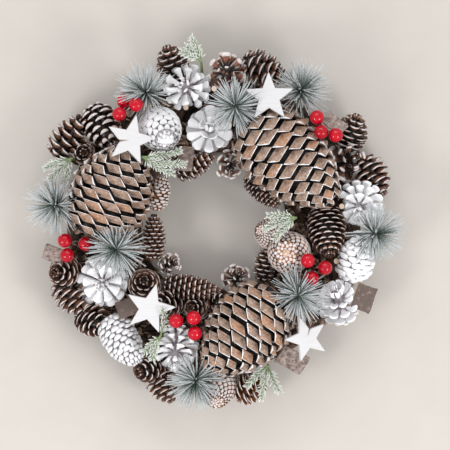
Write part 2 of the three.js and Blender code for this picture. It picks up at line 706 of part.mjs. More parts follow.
function berrySolid(bunch) {
  const solids = bunch.berries.map(([x, y, z]) => {
    const shell = new Shell();
    const rows = BERRY_ROWS;
    const sides = BERRY_SIDES;
    const rings = [];
    for (let row = 1; row < rows; row++) {
      const polar = Math.PI * row / rows;
      const out = BERRY_RADIUS * Math.sin(polar);
      const height = z - BERRY_RADIUS * Math.cos(polar);
      const ring = [];
      for (let count = 0; count < sides; count++) {
        const angle = 2 * Math.PI * (count + row / 2) / sides;
        ring.push(shell.add(new THREE.Vector3(x + out * Math.cos(angle), y + out * Math.sin(angle), height)));
      }
      rings.push(ring);
    }
    const bottom = shell.add(new THREE.Vector3(x, y, z - BERRY_RADIUS));
    const top = shell.add(new THREE.Vector3(x, y, z + BERRY_RADIUS));
    for (let count = 0; count < sides; count++) {
      const next = (count + 1) % sides;
      shell.face(bottom, rings[0][next], rings[0][count]);
      shell.face(top, rings[rows - 2][count], rings[rows - 2][next]);
      for (let row = 0; row + 2 < rows; row++) {
        shell.face(rings[row][count], rings[row][next], rings[row + 1][count]);
        shell.face(rings[row][next], rings[row + 1][next], rings[row + 1][count]);
      }
    }
    return shell.solid();
  });
  berryRods(bunch).forEach(([from, to], k) => {
    const over = blend(from, to, 1.02);
    if (k === 0) {
      const start = standing(from, BUNCH_RADIUS);
      const path = [start, start.clone().addScaledVector(UP, STEM_RISE), over];
      solids.push(tubeShell(path, path.map(() => BUNCH_RADIUS), 3).solid());
    } else {
      solids.push(tubeShell([from, over], [WIRE_RADIUS, WIRE_RADIUS], 3).solid());
    }
  });
  return fuse(solids);
}

for (const bunch of bunches) {
  for (const [x, y, z] of bunch.berries) {
    obstacles.push(ballObstacle(new THREE.Vector3(x, y, z), BERRY_RADIUS));
  }
  berryRods(bunch).forEach(([from, to], k) => {
    obstacles.push(rodObstacle(from, to, k === 0 ? BUNCH_RADIUS : WIRE_RADIUS));
  });
}

// Stems of the picks and sprigs
for (const spray of [...picks, ...sprigs]) {
  const top = new THREE.Vector3(spray.x, spray.y, spray.z);
  spray.foot = footOn(spray.x, spray.y);
  spray.stem = rodObstacle(spray.foot, top, STEM_RADIUS);
  obstacles.push(spray.stem);
}

// The stubs of the ring stand between the cones, which keep clear of them
for (const [x, y, z] of stubs) {
  const foot = footOn(x, y);
  obstacles.push(rodObstacle(foot, new THREE.Vector3(x, y, z), STUB_RADIUS));
}

// A short peg that joins two neighbouring cones, hidden among their scales
function pegBetween(one, two) {
  const from = new THREE.Vector3(one.x, one.y, one.z);
  const to = new THREE.Vector3(two.x, two.y, two.z);
  return tubeShell([blend(from, to, 0.05), blend(from, to, 0.95)], [PEG_RADIUS, PEG_RADIUS], 3).solid();
}

// A plain closed cover just outside a cone's scales, to cut its neighbours with
function coneCover(cone) {
  const shell = new Shell();
  const centre = new THREE.Vector3(cone.x, cone.y, cone.z);
  const turn = coneTurn(cone);
  const sides = COVER_SIDES;
  const shares = COVER_SHARES;
  const put = (angle, out, share) => {
    const local = new THREE.Vector3(out * Math.cos(angle), out * Math.sin(angle), (share - 0.5) * cone.long);
    return shell.add(local.applyQuaternion(turn).add(centre));
  };
  const rings = shares.map((share) => {
    const out = (coneRadius(cone, share) + GAP) / Math.cos(Math.PI / sides);
    return Array.from({ length: sides }, (unused, count) => put(2 * Math.PI * count / sides, out, share));
  });
  const last = rings.length - 1;
  const base = put(0, 0, shares[0]);
  const tip = put(0, 0, shares[last]);
  for (let count = 0; count < sides; count++) {
    const next = (count + 1) % sides;
    shell.face(base, rings[0][next], rings[0][count]);
    shell.face(tip, rings[last][count], rings[last][next]);
    for (let k = 0; k < last; k++) {
      shell.face(rings[k][count], rings[k][next], rings[k + 1][next], rings[k + 1][count]);
    }
  }
  return shell;
}

// Where a thin stem or an earlier cone still touches a cone, its cover is cut away
function keepApart(solid, cone, ownNode) {
  let kept = solid;
  const centre = new THREE.Vector3(cone.x, cone.y, cone.z);
  for (const rod of nearby(obstacles, centre, cone.long / 2).filter((other) => other.from)) {
    const radius = rod.radius * 1.3 + GAP;
    const ends = [blend(rod.from, rod.to, -0.02), blend(rod.from, rod.to, 1.02)];
    const cover = tubeShell(ends, [radius, radius], 5).solid();
    if (kept.intersect(cover).volume() > 0) {
      kept = largest(kept.subtract(cover));
    }
  }
  for (const [name, built] of coneSolids) {
    for (const other of name === ownNode ? [] : built) {
      if (kept.minGap(other.solid, 1) < GAP / 3) {
        kept = largest(kept.subtract(coneCover(other.cone).solid()));
      }
    }
  }
  return kept;
}

// Build the cones in their order
const coneSolids = new Map();
cones.forEach((cone, index) => {
  cone.seed = index + 1;
  const solid = keepApart(coneShell(cone, obstacles, cone.seed).solid(), cone);
  if (!coneSolids.has(cone.node)) {
    coneSolids.set(cone.node, []);
  }
  coneSolids.get(cone.node).push({ cone, solid });
  obstacles.push(coneObstacle(cone));
});

// The ring is pressed down under the cones, so it is shaped after them. Stems then stand on its real top.
const ring = ringSolid();
const ringMesh = ring.getMesh();
const ringFaces = [];
for (let k = 0; k < ringMesh.triVerts.length; k += 3) {
  const corners = [...ringMesh.triVerts.slice(k, k + 3)];
  const points = corners.map((corner) => new THREE.Vector3().fromArray(ringMesh.vertProperties, 3 * corner));
  const face = new THREE.Triangle(...points);
  if (face.getNormal(new THREE.Vector3()).z > 0.1) {
    ringFaces.push(face);
  }
}

function standing(foot, radius) {
  let top = 0;
  const down = new THREE.Vector3(0, 0, -1);
  const hit = new THREE.Vector3();
  for (let k = 0; k < 9; k++) {
    const around = k === 0 ? 0 : radius;
    const angle = k * Math.PI / 4;
    const from = new THREE.Vector3(foot.x + around * Math.cos(angle), foot.y + around * Math.sin(angle), 100);
    const ray = new THREE.Ray(from, down);
    for (const face of ringFaces) {
      if (ray.intersectTriangle(face.a, face.b, face.c, true, hit)) {
        top = Math.max(top, hit.z);
      }
    }
  }
  return new THREE.Vector3(foot.x, foot.y, top + GAP);
}

// A wire from the middle of a cone down to the ring
function wireStem(cone) {
  const middle = new THREE.Vector3(cone.x, cone.y, cone.z);
  const foot = standing(footOn(cone.x, cone.y), WIRE_STEM_RADIUS);
  const path = [foot, foot.clone().addScaledVector(UP, STEM_RISE), middle];
  return tubeShell(path, path.map(() => WIRE_STEM_RADIUS), 3).solid();
}

// The cones of one node are fused, and the wired ones get their wire
for (const [name, parts] of coneSolids) {
  const { cone } = parts[0];
  const look = name.includes('white') ? 'white' : name.includes('net') ? 'net'
    : name.includes('large') ? 'brown' : 'dark';
  const centre = new THREE.Vector3(cone.x, cone.y, cone.z);
  const pegs = parts.slice(1).map((part, k) => pegBetween(parts[k].cone, part.cone));
  const wires = wired.includes(name) ? [wireStem(cone)] : [];
  let solid = fuse([...parts.map((part) => part.solid), ...pegs, ...wires]);
  if (pegs.length > 0) {
    solid = keepApart(solid, cone, name);
  }
  wreath.add(nodeMesh(name, solid, look, centre));
}

for (const star of stars) {
  let solid = starSolid(star);
  if (star.cutBy) {
    const { cone } = coneSolids.get(star.cutBy)[0];
    solid = largest(solid.subtract(coneCover(cone).solid()));
  }
  wreath.add(nodeMesh(star.node, solid, 'star', new THREE.Vector3(star.x, star.y, star.z)));
}
barks.forEach((bark, index) => {
  const centre = new THREE.Vector3(bark.x, bark.y, bark.z);
  wreath.add(nodeMesh(bark.node, barkSolid(bark, index + 1), 'bark', centre));
});
for (const bunch of bunches) {
  const [x, y, z] = bunch.berries[0];
  wreath.add(nodeMesh(bunch.node, berrySolid(bunch), 'berry', new THREE.Vector3(x, y, z)));
}

// Needles keep clear of all that is built: they are turned towards the middle of their fan, then shortened.
// Those of one spray are gathered in grown, and the next sprays keep clear of them.
const grown = [];

function freeNeedle(foot, axis, outward, polar, length, close) {
  for (let angle = polar; angle > 0.12; angle -= 0.1) {
    const aim = outward.clone().multiplyScalar(Math.sin(angle)).addScaledVector(axis, Math.cos(angle));
    const tip = foot.clone().addScaledVector(aim, length);
    if (freeLine(foot, tip, close)) {
      return { tip, angle };
    }
  }
  const steep = polar * 0.6;
  const aim = outward.clone().multiplyScalar(Math.sin(steep)).addScaledVector(axis, Math.cos(steep));
  for (let shorter = length * 0.7; shorter > 3; shorter *= 0.75) {
    const tip = foot.clone().addScaledVector(aim, shorter);
    if (freeLine(foot, tip, close)) {
      return { tip, angle: steep };
    }
  }
  return { tip: foot.clone().addScaledVector(axis, 2), angle: polar };
}

function freeLine(foot, tip, close) {
  return NEEDLE_SAMPLES.every((share) => !blocked(blend(foot, tip, share), close, NEEDLE_GAP));
}

function pickSolid(pick, seed, close) {
  const axis = direction(pick.turn, pick.lift);
  const bud = new THREE.Vector3(pick.x, pick.y, pick.z);
  const sides = PICK_SIDES;
  const rows = PICK_ROWS;
  const foot = standing(pick.foot, STEM_RADIUS);
  const path = [foot, foot.clone().addScaledVector(UP, STEM_RISE)];
  const radii = [STEM_RADIUS, STEM_RADIUS];
  for (let row = 0; row <= rows; row++) {
    path.push(bud.clone().addScaledVector(axis, BUD_LENGTH * (row / rows - 0.5)));
    radii.push(STEM_RADIUS * (1 + 0.25 * Math.sin(Math.PI * row / rows)));
  }
  const least = new Array(sides).fill(Math.PI);
  const needleEnd = (k, count, root, middle) => {
    if (k < 2) {
      return null;
    }
    const row = k - 2;
    const outward = root.clone().sub(middle);
    outward.addScaledVector(axis, -outward.dot(axis)).normalize();
    const fan = FAN_WIDEST + (FAN_NARROWEST - FAN_WIDEST) * row / (rows - 1);
    const spread = THREE.MathUtils.degToRad(fan + 8 * wobble(seed * 13 + k * 11 + count));
    const next = (count + 1) % sides;
    const polar = Math.min(spread, least[count] - 0.12, least[next] - 0.12);
    const length = NEEDLE_LENGTH * (0.86 + 0.16 * wobble(seed * 7 + k * 3 + count * 5));
    const found = freeNeedle(root, axis, outward, Math.max(polar, 0.15), length, close);
    least[count] = found.angle;
    grown.push(rodObstacle(root, found.tip, NEEDLE_RADIUS));
    return found.tip;
  };
  return tubeShell(path, radii, sides, needleEnd).solid();
}

function sprigSolid(sprig, seed, close) {
  const root = new THREE.Vector3(sprig.x, sprig.y, sprig.z);
  const foot = standing(sprig.foot, STEM_RADIUS);
  const top = root.clone().addScaledVector(UP, 0.6);
  const bend = foot.clone().addScaledVector(UP, STEM_RISE);
  const solids = [tubeShell([foot, bend, top], [STEM_RADIUS, STEM_RADIUS, 1.4], 4).solid()];
  sprig.twigs.forEach((turn, index) => {
    const steps = TWIG_STEPS;
    const long = sprig.long * (1 - 0.13 * (index % 2) - 0.05 * index);
    const path = [];
    const radii = [];
    let lift = 0;
    for (let k = 0; k <= steps; k++) {
      const share = k / steps;
      const point = root.clone().addScaledVector(direction(turn + 10 * share, sprig.lift), long * share);
      point.z += lift;
      while (k > 0 && blocked(point, close, 2.4) && lift < 30) {
        point.z += SEARCH_STEP;
        lift += SEARCH_STEP;
      }
      path.push(point);
      radii.push(1.5 - 0.7 * share);
    }
    const leafEnd = (k, count, base, middle) => {
      if (k === 0) {
        return null;
      }
      const along = path[k + 1].clone().sub(path[k]).normalize();
      const outward = base.clone().sub(middle);
      outward.addScaledVector(along, -outward.dot(along)).normalize();
      const length = LEAF_LENGTH * (0.8 + 0.3 * wobble(seed * 5 + index * 19 + k * 3 + count));
      const { tip } = freeNeedle(base, along, outward, LEAF_SPREAD, length, close);
      grown.push(rodObstacle(base, tip, NEEDLE_RADIUS));
      return tip;
    };
    grown.push(rodObstacle(path[0], path[steps], 2));
    solids.push(tubeShell(path, radii, 3, leafEnd).solid());
  });
  return fuse(solids);
}

function aroundSpray(spray, reach) {
  const root = new THREE.Vector3(spray.x, spray.y, spray.z);
  const others = obstacles.filter((other) => other !== spray.stem);
  return [...nearby(others, root, reach), outerLimit];
}

picks.forEach((pick, index) => {
  const close = aroundSpray(pick, NEEDLE_LENGTH + BUD_LENGTH);
  const solid = pickSolid(pick, index + 1, close);
  wreath.add(nodeMesh(pick.node, solid, 'needle', new THREE.Vector3(pick.x, pick.y, pick.z)));
  obstacles.push(...grown.splice(0));
});
sprigs.forEach((sprig, index) => {
  const close = aroundSpray(sprig, sprig.long + LEAF_LENGTH + 10);
  const solid = sprigSolid(sprig, index + 1, close);
  wreath.add(nodeMesh(sprig.node, solid, 'leaf', new THREE.Vector3(sprig.x, sprig.y, sprig.z)));
  obstacles.push(...grown.splice(0));
});

const twigs = stubs.map(([x, y, z]) => {
  const foot = footOn(x, y);
  foot.z = RING_THINNEST / 2;
  return tubeShell([foot, new THREE.Vector3(x, y, z)], [STUB_RADIUS, STUB_RADIUS * 0.9], 6).solid();
});
wreath.add(nodeMesh('twig_ring', fuse([ring, ...twigs]), 'twig', new THREE.Vector3()));

export default wreath;
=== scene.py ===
# A pinecone wreath seen from above: fine scales, needles, berries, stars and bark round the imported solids.
# Lengths are in millimetres until a mesh is made, and the frame's own metres from there on.
import math

import bpy
import numpy as np
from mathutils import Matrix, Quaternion, Vector
from mathutils.bvhtree import BVHTree


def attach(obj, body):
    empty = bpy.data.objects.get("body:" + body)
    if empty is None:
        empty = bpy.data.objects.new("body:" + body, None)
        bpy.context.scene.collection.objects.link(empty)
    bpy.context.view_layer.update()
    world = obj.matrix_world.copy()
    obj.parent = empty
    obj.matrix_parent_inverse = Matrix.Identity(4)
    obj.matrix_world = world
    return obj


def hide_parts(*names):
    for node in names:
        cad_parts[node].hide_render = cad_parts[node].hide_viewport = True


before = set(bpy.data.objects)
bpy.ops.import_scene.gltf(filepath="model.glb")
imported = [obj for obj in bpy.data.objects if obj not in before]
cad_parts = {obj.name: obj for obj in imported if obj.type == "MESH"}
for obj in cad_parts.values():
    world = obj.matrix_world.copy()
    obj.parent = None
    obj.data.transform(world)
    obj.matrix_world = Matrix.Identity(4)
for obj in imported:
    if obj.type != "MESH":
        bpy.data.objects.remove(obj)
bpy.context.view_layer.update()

MM = 0.001
RING_RADIUS = 108
RING_WIDTH = 74
BERRY_RADIUS = 6.9
STAR_THICKNESS = 4.6
CRACK_WIDTH = 0.9
BARK_THICKNESS = 3
NEEDLE_LENGTH = 33
BUD_LENGTH = 11
STEM_RISE = 4
GAP = 0.3
SEARCH_REACH = 25
GOLDEN_TURN = 2.39996
STUB_CLEARANCE = 13
LOOSE_MARGIN = 0.8
LOWEST_SCALE = 4
NEEDLES = 135
NEEDLE_MARGIN = 0.45
LEAF_MARGIN = 0.35
STRANDS = 26
STRAND_TURNS = 3
UP = Vector((0, 0, 1))

# Shares of a whole, and not lengths
STAR_WAIST = 0.42
STAR_BLUNT = 0.975
BARK_CURL = 0.08
BELLY = 0.36
SHORTEST_SCALE = 0.15
LOOSE_SPREAD = 0.43
TORN_EDGE = 0.7

# What every kind of cone has unless its own lines say otherwise. A row holds so many scales, or counts
# gives them row by row. Each row is turned by twist against the last, or spiral sets all the scales on one
# line. core, base and tip are widths against the widest place, rise is how far the scales lean up, curl how
# much more they do at the tip, and loose how unevenly they lie. power takes the section of a scale from
# round, 1, to a lozenge, 2. tilt slopes its face, slant skews it, cup bends it, and plate is half its width
# and height. reach shortens the scales row by row, and end narrows those at both ends. cap and foot give
# the count and height of the small scales over the tip and the base, and knob the side, radius, narrowness
# and bareness of a lump there. shade and rim say where along a scale the painted shade ends and the white
# paint begins, and dark and red how dark the painted shade on the core is and how red the wood is.
ANY_CONE = dict(tip=0.3, tilt=0, power=1.0, cup=0.22, slant=0, curl=0, loose=1, end=0.82, shade=(0.15, 0.85),
                rim=(0.84, 0.96), dark=1, red=0)
WHITE_ROSE = dict(ANY_CONE, rows=5, twist=0.08, base=0.86, tip=0.2, rise=0.16)
BROWN = dict(ANY_CONE, base=0.7, rise=0.1)
LUMPY = dict(ANY_CONE, twist=0.1, base=0.7, rise=0.08)
NETTED = dict(ANY_CONE, twist=0.12, base=0.5, rise=0, end=1, rim=(0.5, 0.75), dark=0.2)

# A section of a scale is out, half width, half thickness, shift and lean, from root to end.
KINDS = {
    "large": dict(
        ANY_CONE, scales=10, rows=12, twist=0.3, spiral=0.58, core=0.62, base=0.66, tip=0.22, rise=0.05,
        power=1.9, tilt=0.42, cup=0, slant=-0.42, loose=1.5, cap=(9, 0.9), foot=(18, 1.6), plate=(0.63, 0.62),
        sections=[(-0.3, 0.42, 0.44, 0, 0), (0.15, 0.3, 0.24, 0.05, 0.2), (0.6, 0.46, 0.38, 0.04, 0.7),
                  (0.84, 0.61, 0.57, 0.02, 1), (0.92, 0.63, 0.62, 0, 1), (0.965, 0.54, 0.5, 0, 1),
                  (1, 0.3, 0.26, 0, 1)]),
    "dahlia": dict(
        WHITE_ROSE, counts=(10, 10, 10, 5, 4, 3), core=0.2, reach=(1, 1, 1, 0.6, 0.5, 0.7), cap=(3, 0.5),
        shade=(-0.1, 0.3), cup=0.12, loose=2.6, curl=2,
        sections=[(-0.3, 0.3, 0.3, -0.1, 0), (0.1, 0.4, 0.2, -0.05, 0.1), (0.4, 0.46, 0.17, 0, 0.4),
                  (0.68, 0.47, 0.16, 0.03, 0.7), (0.84, 0.47, 0.16, 0.06, 0.9), (0.92, 0.4, 0.15, 0.07, 0.97),
                  (0.975, 0.27, 0.12, 0.08, 1), (1.0, 0.13, 0.07, 0.09, 1)]),
    "petals": dict(
        WHITE_ROSE, counts=(12, 12, 12, 9, 5, 3), core=0.16, reach=(1, 1, 0.98, 0.84, 0.4, 0.6), cap=(3, 0.5),
        shade=(-0.05, 0.4), cup=-0.05,
        sections=[(-0.3, 0.36, 0.3, -0.1, 0), (0.1, 0.38, 0.2, -0.05, 0.1), (0.4, 0.37, 0.18, 0, 0.4),
                  (0.68, 0.39, 0.19, 0.02, 0.7), (0.84, 0.43, 0.22, 0.04, 0.9), (0.92, 0.4, 0.21, 0.05, 0.97),
                  (0.975, 0.29, 0.16, 0.06, 1), (1.0, 0.15, 0.08, 0.07, 1)]),
    "fingers": dict(
        WHITE_ROSE, counts=(13, 13, 12, 9, 5, 3), core=0.18, reach=(1, 1, 1, 0.92, 0.5, 0.6), cap=(3, 0.5),
        shade=(0, 0.6), cup=-0.08,
        sections=[(-0.3, 0.36, 0.4, -0.1, 0), (0.1, 0.33, 0.22, -0.05, 0.1), (0.4, 0.28, 0.18, 0, 0.4),
                  (0.68, 0.29, 0.18, 0.03, 0.7), (0.84, 0.35, 0.21, 0.06, 0.9), (0.93, 0.34, 0.2, 0.08, 0.97),
                  (0.985, 0.25, 0.15, 0.09, 1), (1.0, 0.13, 0.08, 0.1, 1)]),
    "rose": dict(
        WHITE_ROSE, counts=(11, 11, 11, 10, 8, 6), core=0.24, reach=(1, 1.0, 1, 0.9, 0.74, 0.7), cap=(4, 0.5),
        shade=(0, 0.5), cup=0.3, curl=0.6,
        sections=[(-0.3, 0.3, 0.4, -0.1, 0), (0.1, 0.3, 0.22, -0.05, 0.1), (0.4, 0.38, 0.17, 0, 0.4),
                  (0.68, 0.45, 0.14, 0.03, 0.7), (0.86, 0.48, 0.14, 0.06, 0.9),
                  (0.94, 0.44, 0.14, 0.07, 0.97), (0.985, 0.32, 0.11, 0.08, 1), (1.0, 0.17, 0.07, 0.09, 1)]),
    "bold": dict(
        BROWN, scales=8, rows=7, twist=0.1, core=0.5, power=1.1, cap=(7, 1.2), foot=(12, 1.2),
        rim=(0.72, 0.96),
        sections=[(-0.3, 0.4, 0.4, 0, 0), (0.2, 0.34, 0.26, 0, 0.2), (0.6, 0.42, 0.27, 0, 0.6),
                  (0.84, 0.47, 0.3, 0.02, 0.9), (0.93, 0.44, 0.27, 0.03, 0.97), (0.985, 0.33, 0.2, 0.03, 1),
                  (1, 0.18, 0.1, 0.03, 1)]),
    "bloom": dict(
        BROWN, counts=(5, 7, 8, 8, 7, 5), rows=5, twist=0.1, core=0.26, cap=(5, 1), foot=(3, 1.6),
        rim=(0.62, 0.86), red=1, cup=0.1, reach=(0.66, 1, 0.97, 0.8, 0.62, 0.5), loose=2.6,
        sections=[(-0.3, 0.3, 0.3, 0, 0), (0.2, 0.17, 0.2, 0, 0.2), (0.6, 0.22, 0.2, 0, 0.6),
                  (0.84, 0.29, 0.24, 0.02, 0.9), (0.92, 0.28, 0.22, 0.03, 0.97), (0.975, 0.2, 0.17, 0.03, 1),
                  (1, 0.1, 0.08, 0.03, 1)]),
    "open": dict(
        ANY_CONE, counts=(4, 5, 5, 5, 4, 3), rows=5, twist=0.12, core=0.16, base=0.8, rise=0.14, cap=(3, 1),
        foot=(4, 1.2), rim=(0.6, 0.84), cup=0.05, loose=3.5, reach=(1, 1, 1, 0.85, 0.7, 0.6),
        sections=[(-0.3, 0.3, 0.34, 0, 0), (0.2, 0.14, 0.18, 0, 0.2), (0.6, 0.17, 0.17, 0, 0.6),
                  (0.84, 0.25, 0.2, 0.02, 0.9), (0.93, 0.25, 0.19, 0.03, 0.97), (0.985, 0.19, 0.14, 0.03, 1),
                  (1, 0.1, 0.08, 0.03, 1)]),
    "packed": dict(
        LUMPY, scales=8, rows=8, core=0.66, loose=1.6, cap=(5, 0.8), shade=(-0.3, 0.2),
        sections=[(-0.3, 0.5, 0.9, 0, 0), (0.3, 0.5, 0.62, 0, 0.5), (0.65, 0.55, 0.6, 0.04, 0.9),
                  (0.86, 0.5, 0.52, 0.06, 1), (0.96, 0.37, 0.38, 0.07, 1), (1, 0.2, 0.2, 0.08, 1)]),
    "lumps": dict(
        LUMPY, scales=11, rows=12, core=0.7, loose=2, cap=(9, 1.2), foot=(14, 1.0), rim=(0.3, 0.7),
        shade=(-0.3, 0.3), dark=0.5,
        sections=[(-0.3, 0.5, 0.9, 0, 0), (0.3, 0.5, 0.6, 0, 0.5), (0.65, 0.5, 0.56, 0.02, 0.9),
                  (0.86, 0.46, 0.5, 0.03, 1), (0.96, 0.34, 0.36, 0.03, 1), (1, 0.17, 0.18, 0.04, 1)]),
    "net": dict(
        NETTED, scales=17, rows=15, core=0.88, power=1.5, loose=0.15, cap=(16, 0.7), foot=(30, 0.9),
        knob=(-1, 4.2, 0.9, 1),
        sections=[(-0.4, 0.48, 0.92, 0, 0), (0.5, 0.43, 0.8, 0, 0), (0.9, 0.35, 0.62, 0, 0),
                  (1, 0.15, 0.26, 0, 0)]),
    "shell": dict(
        NETTED, scales=11, rows=9, core=0.86, power=1.15, loose=0.5, cap=(8, 1.6), foot=(12, 0.9),
        knob=(1, 7, 0.42, 0),
        sections=[(-0.4, 0.5, 0.9, 0, 0), (0.4, 0.5, 0.82, 0, 0), (0.8, 0.47, 0.72, 0, 0),
                  (0.97, 0.36, 0.52, 0, 0), (1.05, 0.16, 0.2, 0, 0)]),
    "fine": dict(
        BROWN, scales=10, rows=11, twist=0.1, core=0.54, power=1.1, rim=(0.88, 0.98), cap=(9, 1.1),
        foot=(14, 1.2),
        sections=[(-0.3, 0.4, 0.4, 0, 0), (0.2, 0.36, 0.24, 0, 0.2), (0.6, 0.45, 0.22, 0, 0.6),
                  (0.84, 0.5, 0.2, 0, 0.9), (0.95, 0.44, 0.16, 0, 1), (1, 0.26, 0.08, 0, 1.02)]),
    "small": dict(
        ANY_CONE, scales=7, rows=7, twist=0.08, core=0.46, base=0.8, rise=0.14, power=1.1, rim=(0.87, 0.98),
        cap=(7, 1.2), foot=(10, 1.2),
        sections=[(-0.3, 0.4, 0.4, 0, 0), (0.2, 0.34, 0.24, 0, 0.2), (0.6, 0.45, 0.22, 0, 0.6),
                  (0.84, 0.51, 0.2, 0, 0.9), (0.95, 0.45, 0.16, 0, 1), (1, 0.26, 0.08, 0, 1.02)]),
}
KINDS["knobby"] = dict(KINDS["lumps"], scales=10, rows=11, rim=(0.5, 0.95), cap=(11, 1.2))
SCALE_SIDES = 12

# Node, kind, middle x, y, z, length, width, direction of the tip in plan and its rise, in degrees
CONES = [
    ("white_cone_upper", "dahlia", -4, 93, 39.4, 48, 49, 90, 84),
    ("large_cone_left", "large", -97, 34, 52, 96, 88, 65, 5),
    ("large_cone_right", "large", 75, 61, 50, 117, 86, -43, 3),
    ("large_cone_bottom", "large", 28, -105, 48, 101, 83, -133, 4),
    ("white_net_cone", "shell", -51, 91, 59, 50, 43, -60, 62),
    ("white_cone_top", "fingers", -27, 134, 41.6, 50, 48, 170, 76),
    ("white_cone_left", "petals", -108, -56, 38.8, 48, 52, -90, 82),
    ("white_cone_bottom", "fingers", -37, -123, 42, 48, 47, -95, 45),
    ("white_cone_right", "petals", 141, 18, 42, 46, 48, -100, 60),
    ("white_cone_closed", "packed", 138, -32, 40, 45, 40, 75, 12),
    ("white_cone_lower_right", "rose", 121, -72, 43, 50, 46, 110, 50),
    ("white_cone_lower_left", "lumps", -88, -113, 38, 54, 39, -55, 10),
    ("net_cones_right", "net", 74, -27, 40, 46, 42, 0, -80),
    ("net_cones_right", "net", 54, -8, 38, 36, 31, 160, 60),
    ("net_cone_bottom", "net", 3, -158, 30, 43, 41, -90, 50),
    ("net_cone_bottom", "small", 36, -158, 28, 34, 34, 20, 10),
    ("brown_cone_right", "fine", 110, -6, 43, 52, 40, -85, 25),
    ("brown_cones_top", "bloom", 12, 150, 34, 40, 44, 90, -75),
    ("brown_cones_top", "small", 49, 150, 33, 46, 39, -25, 5),
    ("brown_cone_far_top", "small", -40, 157, 30, 38, 36, 110, 20),
    ("brown_cone_upper_left", "bold", -108, 95, 36, 46, 40, -60, 20),
    ("brown_cones_left", "small", -137, 87, 32, 52, 39, 48, 0),
    ("brown_cones_left", "small", -128, 70, 38, 34, 28, 0, 80),
    ("brown_cones_upper_right", "small", 155, 46, 28, 42, 38, -60, 0),
    ("brown_cones_upper_right", "open", 131, 63, 36, 44, 44, 40, 72),
    ("brown_cones_upper_right", "small", 134, 91, 32, 36, 36, 70, 20),
    ("brown_cone_inner_right", "fine", 48, 33, 28, 43, 25, -45, 8),
    ("brown_cone_hole_right", "small", 50, -37, 31, 34, 23, 80, 5),
    ("net_cone_inner_left", "knobby", -53, 32, 37, 34, 25, 75, 8),
    ("brown_cones_inner_top", "small", -17, 58, 35, 40, 24, 30, 5),
    ("brown_cones_inner_top", "open", 16, 57, 35, 30, 32, -60, 70),
    ("brown_cones_inner_left", "fine", -58, -11, 36, 44, 25, 90, 0),
    ("brown_cones_inner_left", "open", -42, -37, 36, 28, 26, 30, 65),
    ("brown_cone_inner_bottom", "fine", -21, -61, 36, 56, 27, -8, 4),
    ("brown_cones_under_star", "small", -67, -58, 35, 38, 33, 90, 75),
    ("brown_cones_under_star", "small", -46, -76, 34, 34, 32, 200, 50),
    ("brown_cones_hole_bottom", "open", 23, -51, 32, 30, 32, 60, 68),
    ("brown_cones_hole_bottom", "small", 5, -73, 35, 32, 27, 0, 60),
    ("brown_cones_hole_bottom", "small", -17, -80, 34, 32, 26, 180, 70),
    ("brown_cones_bottom", "small", -63, -139, 34, 36, 33, 200, 50),
    ("brown_cones_bottom", "small", -49, -157, 29, 36, 33, -60, 0),
    ("brown_cones_lower_left", "small", -146, -46, 34, 32, 34, 180, 60),
    ("brown_cones_lower_left", "small", -137, -70, 30, 42, 38, -50, 0),
    ("brown_cones_lower_left", "small", -117, -93, 30, 34, 36, -40, 30),
]
WIRED = ["white_cone_lower_left", "net_cones_right", "brown_cone_upper_left", "brown_cones_upper_right",
         "brown_cones_inner_top", "brown_cones_under_star", "brown_cone_right", "net_cone_bottom"]

# Needle picks: node, x, y, z of the bud, and the direction that the needles fan round
PICKS = [
    ("needle_pick_top_left", -64, 127, 58, 150, 50), ("needle_pick_top", 21, 113, 66, 100, 80),
    ("needle_pick_top_right", 84, 129, 50, 60, 55), ("needle_pick_far_left", -151, 19, 53, 190, 56),
    ("needle_pick_left", -93, -23, 64, -90, 82), ("needle_pick_far_right", 154, -8, 56, -10, 62),
    ("needle_pick_lower_right", 81, -67, 58, -70, 74), ("needle_pick_bottom", -17, -149, 50, -110, 62),
]

# Sprigs: node, root, the directions of the twigs in plan, their length and lift
SPRIGS = [
    ("sprig_top", -12, 157, 60, (102, 124, 144), 24, 6),
    ("sprig_left", -137, 64, 54, (215, 245, 190), 30, -8),
    ("sprig_inner_top", -68, 65, 76, (-20, -38, 0), 42, -14),
    ("sprig_right", 79, 7, 66, (190, 166, 216), 32, 0),
    ("sprig_bottom_left", -51, -107, 62, (75, 215, 240), 26, 6),
    ("sprig_bottom", 53, -136, 46, (248, 282, 214), 32, 4),
]
BUNCHES = [
    ("berries_top_left", (-74, 115, 75), (-90, 106, 72), (-86, 119, 64)),
    ("berries_right", (99, 103, 70), (103, 89, 73), (117, 86, 70)),
    ("berries_left", (-143, -15, 60), (-141, -29, 58), (-123, -18, 62)),
    ("berries_lower_right", (90, -34, 72), (107, -41, 66), (94, -51, 66)),
    ("berries_bottom", (-36, -92, 66), (-19, -89, 68), (-18, -104, 64)),
]

# Stars: node, middle, radius, direction of the first point, lean of the face and its direction
STARS = [
    ("star_top", 53, 122, 75.6, 25, 91, 8, 90), ("star_left", -79, 81, 80, 25, 77, 12, 0),
    ("star_lower_left", -61, -80, 66, 25.5, 75, 3, -90), ("star_lower_right", 89, -109, 62.2, 23, 38, 18, 0),
]

# Bark: node, middle, size along and across, direction of the length, lean of the face and its direction, and
# how pale it is
BARKS = [
    ("bark_upper_right", 117, 98, 48, 24, 14, -40, 15, 60, 0.6),
    ("bark_far_left", -155, -29, 38, 22, 16, -20, 20, 200, 0.55),
    ("bark_inner_top", -27, 64, 50, 24, 15, 85, 20, -60, 0.35),
    ("bark_lower_left", -84, -80, 46, 20, 17, 20, 10, 90, 0.05),
    ("bark_right", 146, -71, 42, 26, 22, 70, 25, -20, 0.15),
    ("bark_bottom", 76, -131, 40, 30, 20, -30, 20, -70, 0.5),
]
LOOSE_SCALES = 1600
CRACKS = {"star_left": (3, 0.44), "star_lower_right": (1, 0.35)}
STUBS = [(0.5, 132, 44), (-27, 114, 40), (124, 18, 46), (119, -35, 44)]


# Small helpers

